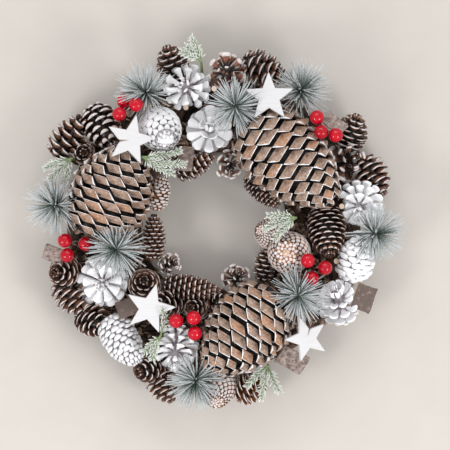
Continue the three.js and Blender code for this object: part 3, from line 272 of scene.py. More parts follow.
def wobble(number):
    wave = np.sin(np.asarray(number, float) * 12.9898 + 4.1414) * 43758.5453
    return wave - np.floor(wave)


def direction(turn, lift):
    turn, lift = math.radians(turn), math.radians(lift)
    return Vector((math.cos(lift) * math.cos(turn), math.cos(lift) * math.sin(turn), math.sin(lift)))


def smooth(low, high, value):
    share = np.clip((value - low) / (high - low), 0, 1)
    return share * share * (3 - 2 * share)


def turned(points, quaternion, centre):
    matrix = np.array(quaternion.to_matrix())
    return points @ matrix.T + np.array(centre)


# A growing mesh: points, faces and the marks that the materials read at each point

MARKS = ("deep", "rim", "chance", "along", "other")


class Soup:
    def __init__(self):
        self.points, self.faces, self.marks = [], [], []
        self.count = 0

    def add(self, points, faces, **marks):
        points = np.asarray(points, float).reshape(-1, 3)
        row = np.zeros((len(points), len(MARKS)))
        for name, values in marks.items():
            row[:, MARKS.index(name)] = np.asarray(values, float).reshape(-1) if np.ndim(values) else values
        self.points.append(points)
        self.faces.extend((np.asarray(face) + self.count).tolist() for face in faces)
        self.marks.append(row)
        self.count += len(points)

    def add_copies(self, points, faces, marks):
        """Many copies of one template. points is copies x points x 3, and marks copies x points x marks."""
        copies, size = points.shape[:2]
        for width in {len(face) for face in faces}:
            group = np.array([face for face in faces if len(face) == width])
            starts = self.count + size * np.arange(copies)
            self.faces.extend((group[None] + starts[:, None, None]).reshape(-1, width).tolist())
        self.points.append(points.reshape(-1, 3))
        self.marks.append(marks.reshape(-1, len(MARKS)))
        self.count += copies * size

    def merge(self, other):
        self.faces.extend((np.asarray(face) + self.count).tolist() for face in other.faces)
        self.points.extend(other.points)
        self.marks.extend(other.marks)
        self.count += other.count

    def solid(self):
        return Solid(np.concatenate(self.points), self.faces)

    def piece(self, name, look, node, smooth_angle=50):
        mesh = bpy.data.meshes.new(name)
        mesh.from_pydata((np.concatenate(self.points) * MM).tolist(), [], self.faces)
        marks = np.concatenate(self.marks)
        for column, mark in enumerate(MARKS):
            values = mesh.attributes.new(mark, "FLOAT", "POINT")
            values.data.foreach_set("value", marks[:, column].astype(np.float32))
        mesh.validate()
        mesh.shade_smooth()
        mesh.set_sharp_from_angle(angle=math.radians(smooth_angle))
        thing = bpy.data.objects.new(name, mesh)
        bpy.context.collection.objects.link(thing)
        material, slot = look
        mesh.materials.append(material)
        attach(thing, "root")
        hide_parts(node)


class Solid:
    """Something that other pieces keep clear of."""

    def __init__(self, points, faces):
        self.tree = BVHTree.FromPolygons(points.tolist(), faces)
        self.low, self.high = points.min(axis=0), points.max(axis=0)

    def holds(self, point):
        layers, start = 0, Vector(point)
        while True:
            hit, normal, _, _ = self.tree.ray_cast(start, UP)
            if hit is None:
                return layers > 0
            layers += 1 if normal.z > 0 else -1
            start = hit + UP * 1e-3

    def near(self, point, margin):
        if (point < self.low - margin).any() or (point > self.high + margin).any():
            return False
        hit, normal, _, distance = self.tree.find_nearest(Vector(point), SEARCH_REACH)
        if hit is None:
            return False
        if distance < margin:
            return True
        return (Vector(point) - hit).dot(normal) < 0 and self.holds(point)


def node_solid(name):
    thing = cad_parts[name]
    world = np.array(thing.matrix_world)
    points = np.array([vertex.co for vertex in thing.data.vertices])
    points = (points @ world[:3, :3].T + world[:3, 3]) / MM
    return Solid(points, [list(polygon.vertices) for polygon in thing.data.polygons])


solids = {name: node_solid(name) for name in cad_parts}


def neighbours(node, low, high, margin=2.0):
    low, high = np.asarray(low) - margin, np.asarray(high) + margin
    return [solid for name, solid in solids.items()
            if name != node and (solid.low < high).all() and (solid.high > low).all()]


def blocked(point, others, margin):
    return any(other.near(point, margin) for other in others)


def bands(rows, sides):
    """Faces between the rings of points of a closed strip: rows of them, each with so many sides."""
    return [(row * sides + k, row * sides + (k + 1) % sides, (row + 1) * sides + (k + 1) % sides,
             (row + 1) * sides + k) for row in range(rows) for k in range(sides)]


def ends(rows, sides, count):
    """Faces that close such a strip at both ends, round the last two of its points."""
    last = rows * sides
    low = [((k + 1) % sides, k, count - 2) for k in range(sides)]
    return low + [(last + k, last + (k + 1) % sides, count - 1) for k in range(sides)]


def tube(path, radii, sides=8, caps=True):
    """Points and faces of a tube along a path, closed at both ends."""
    path = np.asarray(path, float)
    radii = np.asarray(radii, float)
    along = np.gradient(path, axis=0)
    along /= np.linalg.norm(along, axis=1, keepdims=True)
    guide = np.where(np.abs(along[:, 2:3]) < 0.95, np.array([[0, 0, 1.0]]), np.array([[1.0, 0, 0]]))
    side = np.cross(guide, along)
    side /= np.linalg.norm(side, axis=1, keepdims=True)
    other = np.cross(along, side)
    angles = 2 * np.pi * np.arange(sides) / sides
    rings = (path[:, None] + radii[:, None, None] * (np.cos(angles)[None, :, None] * side[:, None]
                                                     + np.sin(angles)[None, :, None] * other[:, None]))
    points = rings.reshape(-1, 3)
    faces = bands(len(path) - 1, sides)
    if caps:
        faces.append(tuple(range(sides - 1, -1, -1)))
        faces.append(tuple((len(path) - 1) * sides + np.arange(sides)))
    return points, faces


def ball(centre, radius, rows=14, sides=24):
    polar = np.pi * np.arange(1, rows) / rows
    angle = 2 * np.pi * np.arange(sides) / sides
    unit = np.stack([np.sin(polar)[:, None] * np.cos(angle), np.sin(polar)[:, None] * np.sin(angle),
                     np.repeat(-np.cos(polar)[:, None], sides, axis=1)], axis=-1).reshape(-1, 3)
    unit = np.vstack([unit, [[0, 0, -1]], [[0, 0, 1]]])
    faces = bands(rows - 2, sides) + ends(rows - 2, sides, len(unit))
    return unit * radius + np.array(centre), faces, unit


# Cones

class Cone:
    def __init__(self, row, seed):
        self.node, kind_name, x, y, z, self.long, self.wide, turn, lift = row
        self.kind = KINDS[kind_name]
        self.centre = Vector((x, y, z))
        self.turn = UP.rotation_difference(direction(turn, lift))
        self.seed = seed

    def radius(self, share):
        share = np.asarray(share, float)
        base, tip = self.kind["base"], self.kind["tip"]
        low = base + (1 - base) * np.sin(np.pi / 2 * np.clip(share, 0, BELLY) / BELLY)
        after = np.clip((share - BELLY) / (1 - BELLY), 0, 1)
        high = tip + (1 - tip) * np.cos(np.pi / 2 * after ** 1.3)
        return self.wide / 2 * np.where(share < BELLY, low, high)

    def place(self, angle, out, along):
        local = np.stack([out * np.cos(angle), out * np.sin(angle), along - self.long / 2], axis=-1)
        return turned(local, self.turn, self.centre)


def scale_template(kind):
    """Points of one scale as across, along, out and lean, with their faces and marks."""
    sections = kind["sections"]
    power, tilt = kind["power"], kind["tilt"]
    angles = 2 * np.pi * np.arange(SCALE_SIDES) / SCALE_SIDES
    across = np.sign(np.cos(angles)) * np.abs(np.cos(angles)) ** power
    along = np.sign(np.sin(angles)) * np.abs(np.sin(angles)) ** power
    points = []
    for out, half, thick, shift, lean in sections:
        face = np.where(along < 0.3, (along - 0.3) / 1.3, (0.3 - along) * 0.5)
        slope = tilt * np.clip(out, 0, 1) ** 2 * face
        cup = kind["cup"] * max(out, 0)
        lifted = cup * (half * across / 0.46) ** 2 + kind["slant"] * half * across
        points.append(np.stack([half * across, shift + thick * along + lifted,
                                out + slope, np.full(SCALE_SIDES, lean)], axis=-1))
    points = np.concatenate(points)
    end = points[-SCALE_SIDES:].mean(axis=0)
    points = np.vstack([points, end])
    faces = bands(len(sections) - 1, SCALE_SIDES)
    last = (len(sections) - 1) * SCALE_SIDES
    for count in range(SCALE_SIDES):
        faces.append((last + count, last + (count + 1) % SCALE_SIDES, len(points) - 1))
    return points, faces


def scale_marks(kind, template):
    """How deep a point lies between the scales, for painted shade, and how much white the brush left on it.
    """
    across, along, out, _ = template.T
    deep = 1 - smooth(*kind["shade"], out)
    if "plate" in kind:
        edge = np.abs(across) / kind["plate"][0] + (along - kind["slant"] * across) / kind["plate"][1]
        rim = smooth(0.79, 1, edge) * smooth(0.7, 0.86, out)
    else:
        rim = smooth(*kind["rim"], out)
    return deep, rim


def drawn_back(points, root, outer, others):
    """How much of its length each scale keeps where a neighbour is in its way."""
    shares = np.ones(len(points))
    for index, scale in enumerate(points):
        close = [other for other in others
                 if (scale.min(axis=0) < other.high + 1).all() and (scale.max(axis=0) > other.low - 1).all()]
        while close and shares[index] > SHORTEST_SCALE:
            probes = root[index] + (scale[outer] - root[index]) * shares[index]
            if not any(blocked(probe, close, GAP) for probe in probes):
                break
            shares[index] -= 0.06
    return shares


def scale_places(cone):
    """For every scale its row, how many share that row, the angle of its middle and a number to draw from."""
    kind, spin = cone.kind, cone.seed * 2.4
    rows = kind["rows"]
    if "spiral" in kind:
        order = np.arange(float(kind["scales"] * rows + 1))[:, None]
        middle = spin + 2 * np.pi * order * kind["spiral"]
        return order / kind["scales"], kind["scales"], middle, cone.seed * 31 + order * 1.37
    counts = np.array(kind.get("counts") or [kind["scales"]] * (rows + 1))
    row = np.repeat(np.arange(rows + 1.0), counts)[:, None]
    scales = np.repeat(counts, counts)[:, None]
    count = np.concatenate([np.arange(float(number)) for number in counts])[:, None]
    middle = spin + 2 * np.pi * (count + row * (0.5 + kind["twist"]) + 0.5) / scales
    return row, scales, middle, cone.seed * 31 + row * 7 + count


def cone_shape(cone, others):
    """The scales of a cone round its core. A scale is drawn back where it would reach into a neighbour."""
    kind, soup = cone.kind, Soup()
    rows, twist = kind["rows"], kind["twist"]
    core_long = cone.long * (1 - kind["rise"])
    step = core_long / rows
    template, faces = scale_template(kind)
    deep, rim = scale_marks(kind, template)
    row, scales, middle, draw = scale_places(cone)
    lean = cone.long * kind["rise"] * (0.35 + 0.65 * row / rows) * (1 + kind["curl"] * (row / rows) ** 2)
    across, along, out, leaning = template.T[:, None, :]
    loose = kind["loose"]
    size = 1 - 0.12 * loose * wobble(draw * 1.7)
    small_end = np.where((row < 0.5) | (row > rows - 0.5), kind["end"], 1.0)
    across = across * size * small_end + 0.06 * loose * (wobble(draw * 2.3) - 0.5)
    along = along * size + 0.16 * loose * (wobble(draw * 3.1) - 0.5)
    height = np.clip((row + along) * step + lean * leaning, 0, cone.long)
    angle = middle + 2 * np.pi * (across + along * twist) / scales
    foot = kind["core"] * cone.radius(np.clip(row / rows, 0, 1))
    full = cone.radius(height / cone.long) * (1 - 0.06 * loose * wobble(draw)) * small_end
    full = full * np.interp(row, np.arange(rows + 1), kind.get("reach", (1,) * (rows + 1)))
    reach = foot + (full - foot) * out
    points = cone.place(angle, np.maximum(reach, 0.3), height)
    root = points[:, :SCALE_SIDES].mean(axis=1)
    outer = [k for k in range(len(template)) if template[k, 2] > 0.35][::3]
    shares = drawn_back(points, root, outer, others)
    points = root[:, None] + (points - root[:, None]) * shares[:, None, None]
    marks = np.zeros(points.shape[:2] + (len(MARKS),))
    # The deep mark is painted shade: darker towards each scale's root, and more on a scale drawn back among
    # neighbours.
    marks[..., 0] = np.clip(deep + (1 - shares[:, None]) * 0.5, 0, 1)
    marks[..., 1] = rim
    marks[..., 2] = wobble(draw * 5.3)
    marks[..., 3] = np.clip(template[:, 2], 0, 1)
    marks[..., 4] = kind["red"]
    soup.add_copies(points, faces, marks)
    add_core(soup, cone, core_long, others)
    if not others or not blocked(cone.place(0, 0, cone.long), others, 1):
        add_cap(soup, cone, core_long, 1, *kind["cap"])
    if "foot" in kind and not (others and blocked(cone.place(0, 0, -1), others, 1)):
        add_cap(soup, cone, 0, -1, *kind["foot"])
    return soup


def add_cap(soup, cone, level, sense, count, height):
    """Small closed scales in a spiral over one end of a cone. The spiral closes the end round its middle."""
    knobbed = "knob" in cone.kind
    widest = (1.2 if knobbed else 0.94) * cone.kind["core"] * float(cone.radius(level / cone.long))
    size = (1.6 if knobbed or "plate" in cone.kind else 1.25) * widest / math.sqrt(count)
    white = 1 if knobbed else 0.6 if sense > 0 else 0.3
    low, high = (0, 0.5) if knobbed else (0.2, 0.8)
    for index in range(count):
        out = widest * math.sqrt((index + 0.35) / count)
        angle = index * GOLDEN_TURN + cone.seed
        lift = height * (1.6 - (0.7 if knobbed else 1.2) * out / widest)
        points, faces, unit = ball((0, 0, 0), 1, 6, 8)
        flat = points * (size * 0.62, size * 0.55, 0.9 * lift)
        turned_x = flat[:, 0] * math.cos(angle) - flat[:, 1] * math.sin(angle) + out * math.cos(angle)
        turned_y = flat[:, 0] * math.sin(angle) + flat[:, 1] * math.cos(angle) + out * math.sin(angle)
        along = level + sense * (flat[:, 2] + 0.3 * lift) - cone.long / 2
        placed = turned(np.column_stack([turned_x, turned_y, along]), cone.turn, cone.centre)
        if sense < 0:
            faces = [tuple(reversed(face)) for face in faces]
        # A small scale is white where the brush touched its top, and its underside gets painted shade.
        soup.add(placed, faces, rim=smooth(low, high, unit[:, 2]) * white,
                 deep=0.5 * (1 - smooth(-0.2, 0.6, unit[:, 2])), chance=float(wobble(index + cone.seed)))
    if knobbed:
        points, faces, unit = ball((0, 0, 0), 1, 8, 18)
        dome = points * (widest, widest, 1.1 * height) + (0, 0, level - cone.long / 2)
        placed = turned(dome, cone.turn, cone.centre)
        soup.add(placed, faces, chance=0.5)
    side, radius, stretch, bare = cone.kind.get("knob", (0, 0, 0, 0))
    if side == sense:
        points, faces, unit = ball((0, 0, 0), radius, 10, 16)
        lumps = points * (1 + 0.07 * np.sin(4 * unit[:, :1] + cone.seed)) * (1, stretch, 0.5)
        rise = 2 if stretch < 0.5 else 0.8
        placed = turned(lumps + (0, 0, level + sense * rise - cone.long / 2), cone.turn, cone.centre)
        soup.add(placed, faces, other=bare, rim=1, chance=0.5)


def add_core(soup, cone, core_long, others):
    sides, steps = 18, 9
    shares = np.linspace(0, 1, steps)
    rings = []
    for share in shares:
        radius = 0.97 * cone.kind["core"] * float(cone.radius(share))
        ring = []
        for count in range(sides):
            angle, out = 2 * np.pi * count / sides, radius
            while out > 1 and others and blocked(cone.place(angle, out, share * core_long), others, GAP):
                out -= 1
            ring.append(cone.place(angle, out, share * core_long))
        rings.append(ring)
    points = np.array(rings).reshape(-1, 3)
    faces = bands(steps - 1, sides)
    faces += [tuple(range(sides - 1, -1, -1)), tuple((steps - 1) * sides + np.arange(sides))]
    # The core is coloured as painted shade, as dark as the kind's dark says.
    soup.add(points, faces, deep=cone.kind["dark"], chance=0.5)


# Materials are built from a few node helpers

class Shade:
    def __init__(self, name, roughness=0.7, **sockets):
        self.material = bpy.data.materials.new(name)
        self.material.use_nodes = True
        self.tree = self.material.node_tree
        self.shader = self.tree.nodes["Principled BSDF"]
        self.shader.inputs["Roughness"].default_value = roughness
        for socket, value in sockets.items():
            self.shader.inputs[socket.replace("_", " ")].default_value = value

    def node(self, kind, **values):
        made = self.tree.nodes.new(kind)
        for name, value in values.items():
            setattr(made, name, value)
        return made

    def link(self, source, target):
        self.tree.links.new(source, target)

    def feed(self, socket, value):
        if hasattr(value, "is_linked"):
            self.link(value, socket)
        else:
            socket.default_value = value

    def mark(self, name):
        return self.node("ShaderNodeAttribute", attribute_name=name).outputs["Fac"]

    def noise(self, scale, detail=4, rough=0.55, stretch=(1, 1, 1)):
        place = self.node("ShaderNodeTexCoord").outputs["Object"]
        mapping = self.node("ShaderNodeMapping")
        mapping.inputs["Scale"].default_value = stretch
        self.link(place, mapping.inputs["Vector"])
        made = self.node("ShaderNodeTexNoise")
        made.inputs["Scale"].default_value = scale
        made.inputs["Detail"].default_value = detail
        made.inputs["Roughness"].default_value = rough
        self.link(mapping.outputs[0], made.inputs["Vector"])
        return made.outputs["Fac"]

    def math(self, operation, one, two=0.0):
        made = self.node("ShaderNodeMath", operation=operation)
        self.feed(made.inputs[0], one)
        self.feed(made.inputs[1], two)
        return made.outputs[0]

    def times(self, one, two):
        return self.math("MULTIPLY", one, two)

    def plus(self, one, two):
        return self.math("ADD", one, two)

    def swing(self, value, reach):
        """A value about one half, set about zero and scaled."""
        return self.times(self.math("SUBTRACT", value, 0.5), reach)

    def band(self, value, low, high):
        made = self.node("ShaderNodeMapRange", interpolation_type="SMOOTHSTEP")
        self.feed(made.inputs["Value"], value)
        made.inputs["From Min"].default_value = low
        made.inputs["From Max"].default_value = high
        return made.outputs["Result"]

    def mix(self, share, one, two):
        made = self.node("ShaderNodeMix", data_type="RGBA")
        self.feed(made.inputs["Factor"], share)
        self.feed(made.inputs["A"], one if hasattr(one, "is_linked") else (*one, 1))
        self.feed(made.inputs["B"], two if hasattr(two, "is_linked") else (*two, 1))
        return made.outputs["Result"]

    def done(self, colour, height=None, strength=0.3, distance=0.4):
        self.link(colour, self.shader.inputs["Base Color"])
        if height is not None:
            bump = self.node("ShaderNodeBump")
            bump.inputs["Strength"].default_value = strength
            bump.inputs["Distance"].default_value = distance * MM
            self.link(height, bump.inputs["Height"])
            self.link(bump.outputs[0], self.shader.inputs["Normal"])
        return self.material


def darker(colour, share):
    return tuple(share * part for part in colour)


def brushed(shade, base, white, low, high, uneven=None):
    """White paint where the brush touched the raised edges, broken up by noise."""
    patchy = shade.noise(700, 5, 0.65)
    amount = shade.times(shade.mark("rim"), 0.9)
    if uneven is not None:
        amount = shade.plus(amount, uneven)
    total = shade.plus(amount, shade.math("SUBTRACT", patchy, 0.5))
    return shade.mix(shade.band(total, low, high), base, white)


def large_look():
    shade = Shade("brown_plates", 0.72)
    grain = shade.noise(160, 6, 0.6)
    fine = shade.noise(900, 4, 0.6)
    wood = shade.mix(shade.band(grain, 0.32, 0.68), (0.185, 0.100, 0.058), (0.37, 0.235, 0.155))
    wood = shade.mix(shade.times(shade.band(shade.mark("chance"), 0.72, 0.95), 0.7),
                     wood, (0.40, 0.17, 0.06))
    wood = shade.mix(shade.times(shade.band(fine, 0.42, 0.7), 0.6), wood, (0.46, 0.39, 0.37))
    dust = shade.noise(330, 5, 0.7)
    wood = shade.mix(shade.times(shade.band(dust, 0.52, 0.72), 0.7), wood, (0.60, 0.54, 0.52))
    uneven = shade.swing(shade.noise(75, 2), 1.1)
    wood = brushed(shade, wood, (0.88, 0.88, 0.90), 0.36, 0.6, uneven)
    # Painted shade: near black deep between the plates.
    colour = shade.mix(shade.band(shade.mark("deep"), 0.05, 0.6), wood, (0.012, 0.007, 0.005))
    return shade.done(colour, shade.plus(grain, shade.times(fine, 0.5)), 0.6, 1.0)


def dark_look():
    shade = Shade("dark_scales", 0.42)
    grain = shade.noise(300, 5)
    wood = shade.mix(shade.band(grain, 0.3, 0.7), (0.058, 0.026, 0.017), (0.195, 0.087, 0.052))
    wood = shade.mix(shade.times(shade.band(shade.mark("chance"), 0.55, 1), 0.5), wood,
                     (0.24, 0.105, 0.055))
    red = shade.mix(shade.band(grain, 0.3, 0.7), (0.10, 0.028, 0.014), (0.27, 0.09, 0.045))
    wood = shade.mix(shade.times(shade.mark("other"), 0.8), wood, red)
    wood = brushed(shade, wood, (0.68, 0.63, 0.62), 0.58, 0.96)
    # Painted shade: near black deep between the scales.
    colour = shade.mix(shade.band(shade.mark("deep"), 0.25, 0.9), wood, (0.006, 0.003, 0.002))
    return shade.done(colour, grain, 0.35, 0.4)


def white_look():
    shade = Shade("white_paint", 0.7)
    grain = shade.noise(420, 5)
    coarse = shade.noise(120, 3)
    paint = shade.mix(shade.band(coarse, 0.3, 0.75), (0.87, 0.87, 0.90), (0.95, 0.95, 0.96))
    bare = shade.times(shade.band(grain, 0.54, 0.62), shade.band(shade.mark("deep"), 0.25, 0.7))
    paint = shade.mix(bare, paint, (0.36, 0.17, 0.07))
    # Painted shade: grey-lilac deep between the petals.
    colour = shade.mix(shade.band(shade.mark("deep"), 0.4, 1), paint, (0.34, 0.31, 0.34))
    return shade.done(colour, shade.plus(grain, coarse), 0.5, 0.6)


def net_look(name, groove, face):
    shade = Shade(name, 0.75)
    grain = shade.noise(650, 4)
    wood = shade.mix(shade.band(grain, 0.3, 0.7), groove, darker(groove, 0.55))
    face_paint = shade.mix(shade.band(shade.noise(1500, 3), 0.35, 0.7), face, darker(face, 0.7))
    total = shade.plus(shade.mark("rim"), shade.swing(grain, 1.2))
    colour = shade.mix(shade.band(total, 0.5, 0.85), wood, face_paint)
    # Painted shade: darker groove colour deep in the core.
    colour = shade.mix(shade.band(shade.mark("deep"), 0.7, 1), colour, darker(groove, 0.25))
    knob = shade.mix(shade.band(shade.noise(400, 4), 0.35, 0.65), (0.42, 0.24, 0.14), (0.68, 0.52, 0.42))
    colour = shade.mix(shade.mark("other"), colour, knob)
    return shade.done(colour, grain, 0.3, 0.4)


def needle_look():
    shade = Shade("frosted_needles", 0.6)
    speck = shade.noise(900, 3, 0.7)
    green = shade.mix(shade.mark("chance"), (0.028, 0.055, 0.038), (0.09, 0.14, 0.105))
    frost = shade.plus(shade.times(shade.mark("along"), 0.6),
                       shade.swing(speck, 1.5))
    frost = shade.plus(frost, shade.times(shade.mark("chance"), 0.35))
    colour = shade.mix(shade.band(frost, 0.15, 0.7), green, (0.56, 0.585, 0.60))
    colour = shade.mix(shade.mark("other"), colour, (0.13, 0.055, 0.03))
    return shade.done(colour, speck, 0.2, 0.2)


def sprig_look():
    shade = Shade("frosted_sprigs", 0.65)
    speck = shade.noise(900, 3, 0.7)
    green = shade.mix(shade.mark("chance"), (0.11, 0.17, 0.045), (0.28, 0.35, 0.20))
    frost = shade.plus(shade.times(shade.mark("along"), 0.7),
                       shade.swing(speck, 1.3))
    colour = shade.mix(shade.band(frost, 0.02, 0.6), green, (0.76, 0.79, 0.74))
    return shade.done(colour, speck, 0.2, 0.2)


def berry_look():
    shade = Shade("berry_lacquer", 0.2, Coat_Weight=0.5, Coat_Roughness=0.06, Specular_IOR_Level=0.1)
    dust = shade.noise(900, 4, 0.7)
    red = shade.mix(shade.mark("chance"), (0.36, 0.0, 0.010), (0.50, 0.001, 0.014))
    red = shade.mix(shade.times(shade.band(dust, 0.6, 0.8), shade.mark("rim")), red, (0.75, 0.42, 0.42))
    colour = shade.mix(shade.mark("other"), red, (0.06, 0.012, 0.01))
    return shade.done(colour)


def star_look():
    shade = Shade("star_paint", 0.62)
    grain = shade.noise(60, 5, 0.6, (1, 14, 1))
    paint = shade.mix(shade.band(grain, 0.3, 0.7), (0.62, 0.615, 0.625), (0.58, 0.57, 0.58))
    worn = shade.times(shade.mark("rim"), shade.band(shade.noise(500, 4), 0.6, 0.75))
    colour = shade.mix(worn, paint, (0.55, 0.45, 0.35))
    colour = shade.mix(shade.mark("other"), colour, (0.16, 0.06, 0.03))
    return shade.done(colour, grain, 0.15, 0.3)


def bark_look(name="bark", dark=(0.125, 0.09, 0.078), pale=(0.42, 0.335, 0.30), cut=(0.56, 0.36, 0.22)):
    shade = Shade(name, 0.85)
    rough = shade.noise(240, 6, 0.7)
    lines = shade.noise(110, 5, 0.6, (1, 5, 1))
    tone = shade.plus(rough, shade.swing(shade.mark("chance"), 0.4))
    colour = shade.mix(shade.band(tone, 0.35, 0.7), dark, pale)
    colour = shade.mix(shade.times(shade.band(lines, 0.58, 0.68), 0.7), colour,
                       darker(dark, 0.4))
    colour = shade.mix(shade.mark("other"), colour, cut)
    return shade.done(colour, shade.plus(rough, lines), 0.6, 0.8)


LOOKS = {
    "large": (large_look(), "brown_cone"),
    "dark": (dark_look(), "dark_cone"),
    "white": (white_look(), "white_cone"),
    "white_net": (net_look("white_net", (0.60, 0.56, 0.59), (0.86, 0.86, 0.88)), "white_cone"),
    "net": (net_look("brown_net", (0.33, 0.125, 0.04), (0.74, 0.69, 0.68)), "net_cone"),
    "needle": (needle_look(), "needle"),
    "leaf": (sprig_look(), "leaf"),
    "berry": (berry_look(), "berry"),
    "star": (star_look(), "star"),
    "bark": (bark_look(), "bark"),
    # The twig ring's bark is near black: partly its own colour, partly painted shade for the hollows under
    # the pieces.
    "twig": (bark_look("twigs", (0.013, 0.008, 0.005), (0.115, 0.064, 0.043), (0.82, 0.62, 0.49)), "twig"),
}


# The cones in their places

def cone_look(node):
    if node in ("white_net_cone", "white_cone_lower_left"):
        return LOOKS["white_net"]
    for word in ("white", "net", "large"):
        if word in node:
            return LOOKS[word]
    return LOOKS["dark"]


def ring_top(x, y):
    hit = solids["twig_ring"].tree.ray_cast(Vector((x, y, 200)), -UP)[0]
    return hit.z if hit else 0.0


def foot_on(x, y):
    out = math.hypot(x, y)
    near = min(max(out, RING_RADIUS - RING_WIDTH / 2 + 4), RING_RADIUS + RING_WIDTH / 2 - 4)
    x, y = x * near / out, y * near / out
    return np.array([x, y, ring_top(x, y) + GAP])


def add_stem(soup, x, y, way, radii, **marks):
    """A wire that rises from the ring and runs on through the points of its way."""
    foot = foot_on(x, y)
    soup.add(*tube([foot, foot + (0, 0, STEM_RISE), *way], radii), **marks)


def dress(node, shape, look, angle=50):
    """Hands a shape over as the piece of its node, which later shapes keep clear of."""
    shape.piece(node + "_detail", look, node, angle)
    solids[node] = shape.solid()


by_node = {}
for seed, row in enumerate(CONES, start=1):
    by_node.setdefault(row[0], []).append(Cone(row, seed))
for node, cones in by_node.items():
    whole, built = Soup(), []
    for cone in cones:
        reach = math.hypot(cone.long, cone.wide) / 2
        centre = np.array(cone.centre)
        shape = cone_shape(cone, neighbours(node, centre - reach, centre + reach) + built)
        built.append(shape.solid())
        whole.merge(shape)
    if node in WIRED:
        middle = cones[0].centre
        # The wire takes the colour of the painted shade deep in the cone.
        add_stem(whole, middle.x, middle.y, [middle], [1.2, 1.2, 1.2], deep=0.9)
    dress(node, whole, cone_look(node))


# Stars and bark

def face_turn(turn, lean, towards):
    return Quaternion(direction(towards + 90, 0), math.radians(lean)) @ Quaternion(UP, math.radians(turn))


def star_outline(radius, crack):
    """Points round a star. A crack is an inner corner's number and how far it runs towards the middle."""
    outline = []
    corners = [(radius if k % 2 == 0 else radius * STAR_WAIST) * np.array([math.cos(k * math.pi / 5),
                                                                          math.sin(k * math.pi / 5)])
               for k in range(10)]
    for k in range(10):
        for step in range(6):
            point = corners[k] + (corners[(k + 1) % 10] - corners[k]) * step / 6
            if step == 0 and k % 2 == 0:
                point = point * STAR_BLUNT
            if step == 0 and crack and k == crack[0]:
                side = np.array([-point[1], point[0]]) / np.linalg.norm(point) * CRACK_WIDTH / 2
                bent = point * (1 - crack[1]) + side * 0.6
                outline += [point - side, bent, point + side]
            else:
                outline.append(point)
    return np.array(outline)


def star_shape(star, crack):
    _, x, y, z, radius, turn, lean, towards = star
    soup = Soup()
    outline = star_outline(radius, crack)
    count = len(outline)
    layers = [(-0.5, 0.955), (-0.42, 0.99), (0, 1), (0.42, 0.99), (0.5, 0.955), (0.5, 0.6)]
    rings, rims = [], []
    for height, size in layers:
        rings.append(np.column_stack([outline * size, np.full(count, height * STAR_THICKNESS)]))
        rims.append(np.full(count, 1.0 if abs(height) < 0.5 else 0.4 if size > 0.9 else 0.0))
    points = np.vstack(rings + [[[0, 0, -0.5 * STAR_THICKNESS]], [[0, 0, 0.5 * STAR_THICKNESS]]])
    faces = bands(len(rings) - 1, count) + ends(len(rings) - 1, count, len(points))
    dark = np.zeros(len(points))
    if crack:
        first = crack[0] * 6
        for row in range(len(rings)):
            dark[row * count + first:row * count + first + 3] = (0.5, 1, 0.5)
    soup.add(turned(points, face_turn(turn, lean, towards), (x, y, z)), faces,
             rim=np.concatenate(rims + [[0, 0]]), other=dark)
    return soup


def bark_shape(bark, seed):
    _, x, y, z, long, wide, turn, lean, towards, paleness = bark
    columns, rows = 28, 18

    def spot(column, line):
        return column * (rows + 1) + line

    u = np.linspace(-0.5, 0.5, columns + 1)
    v = np.linspace(-0.5, 0.5, rows + 1)
    grid_u, grid_v = np.meshgrid(u, v, indexing="ij")
    ragged = 1 - 0.05 * wobble(seed * 17 + np.round(grid_v * 9)) * (np.abs(grid_u) > 0.46)
    along = long * grid_u * ragged
    across = wide * grid_v * (1 - 0.06 * wobble(seed * 3 + np.round(grid_u * 6)))
    curl = wide * BARK_CURL * (0.5 - 4 * grid_v ** 2)
    rough = 0.35 * (wobble(seed + np.round(grid_u * 14) * 3.7 + np.round(grid_v * 9)) - 0.5)
    top = np.stack([along, across, curl + BARK_THICKNESS / 2 - 0.15 + rough * 0.5], axis=-1)
    low = np.stack([along, across, curl - BARK_THICKNESS / 2 + 0.1 * rough], axis=-1)
    points = np.concatenate([top.reshape(-1, 3), low.reshape(-1, 3)])
    size = (columns + 1) * (rows + 1)
    faces = []
    for column in range(columns):
        for line in range(rows):
            quad = (spot(column, line), spot(column + 1, line),
                    spot(column + 1, line + 1), spot(column, line + 1))
            faces.append(quad)
            faces.append(tuple(size + corner for corner in reversed(quad)))
    edges = [(spot(k, 0), spot(k + 1, 0)) for k in range(columns)]
    edges += [(spot(columns, k), spot(columns, k + 1)) for k in range(rows)]
    edges += [(spot(k + 1, rows), spot(k, rows)) for k in reversed(range(columns))]
    edges += [(spot(0, k + 1), spot(0, k)) for k in reversed(range(rows))]
    faces += [(size + one, size + two, two, one) for one, two in edges]
    cut = np.concatenate([np.zeros(size), np.ones(size)])
    soup = Soup()
    soup.add(turned(points, face_turn(turn, lean, towards), (x, y, z)), faces, other=cut, chance=paleness)
    return soup


for star in STARS:
    star_shape(star, CRACKS.get(star[0])).piece(star[0] + "_detail", LOOKS["star"], star[0], 35)
for seed, bark in enumerate(BARKS, start=1):
    dress(bark[0], bark_shape(bark, seed), LOOKS["bark"], 40)


# Berries

for seed, (node, *berries) in enumerate(BUNCHES, start=1):
    soup = Soup()
    middle = np.mean(berries, axis=0)
    fork = middle - (0, 0, 16)
    add_stem(soup, fork[0], fork[1], [fork], [1.3, 1.2, 1.0], other=1)
    for k, centre in enumerate(berries):
        points, faces, unit = ball(centre, BERRY_RADIUS)
        soup.add(points, faces, chance=float(wobble(seed * 3 + k)), rim=smooth(0.2, 1, unit[:, 2]))
        end = np.array(centre) - (0, 0, BERRY_RADIUS * 0.6)
        bend = (fork + end) / 2 - (0, 0, 1.2)
        soup.add(*tube([fork, bend, end], [0.7, 0.6, 0.6]), other=1)
    dress(node, soup, LOOKS["berry"])


# Needles and leaves

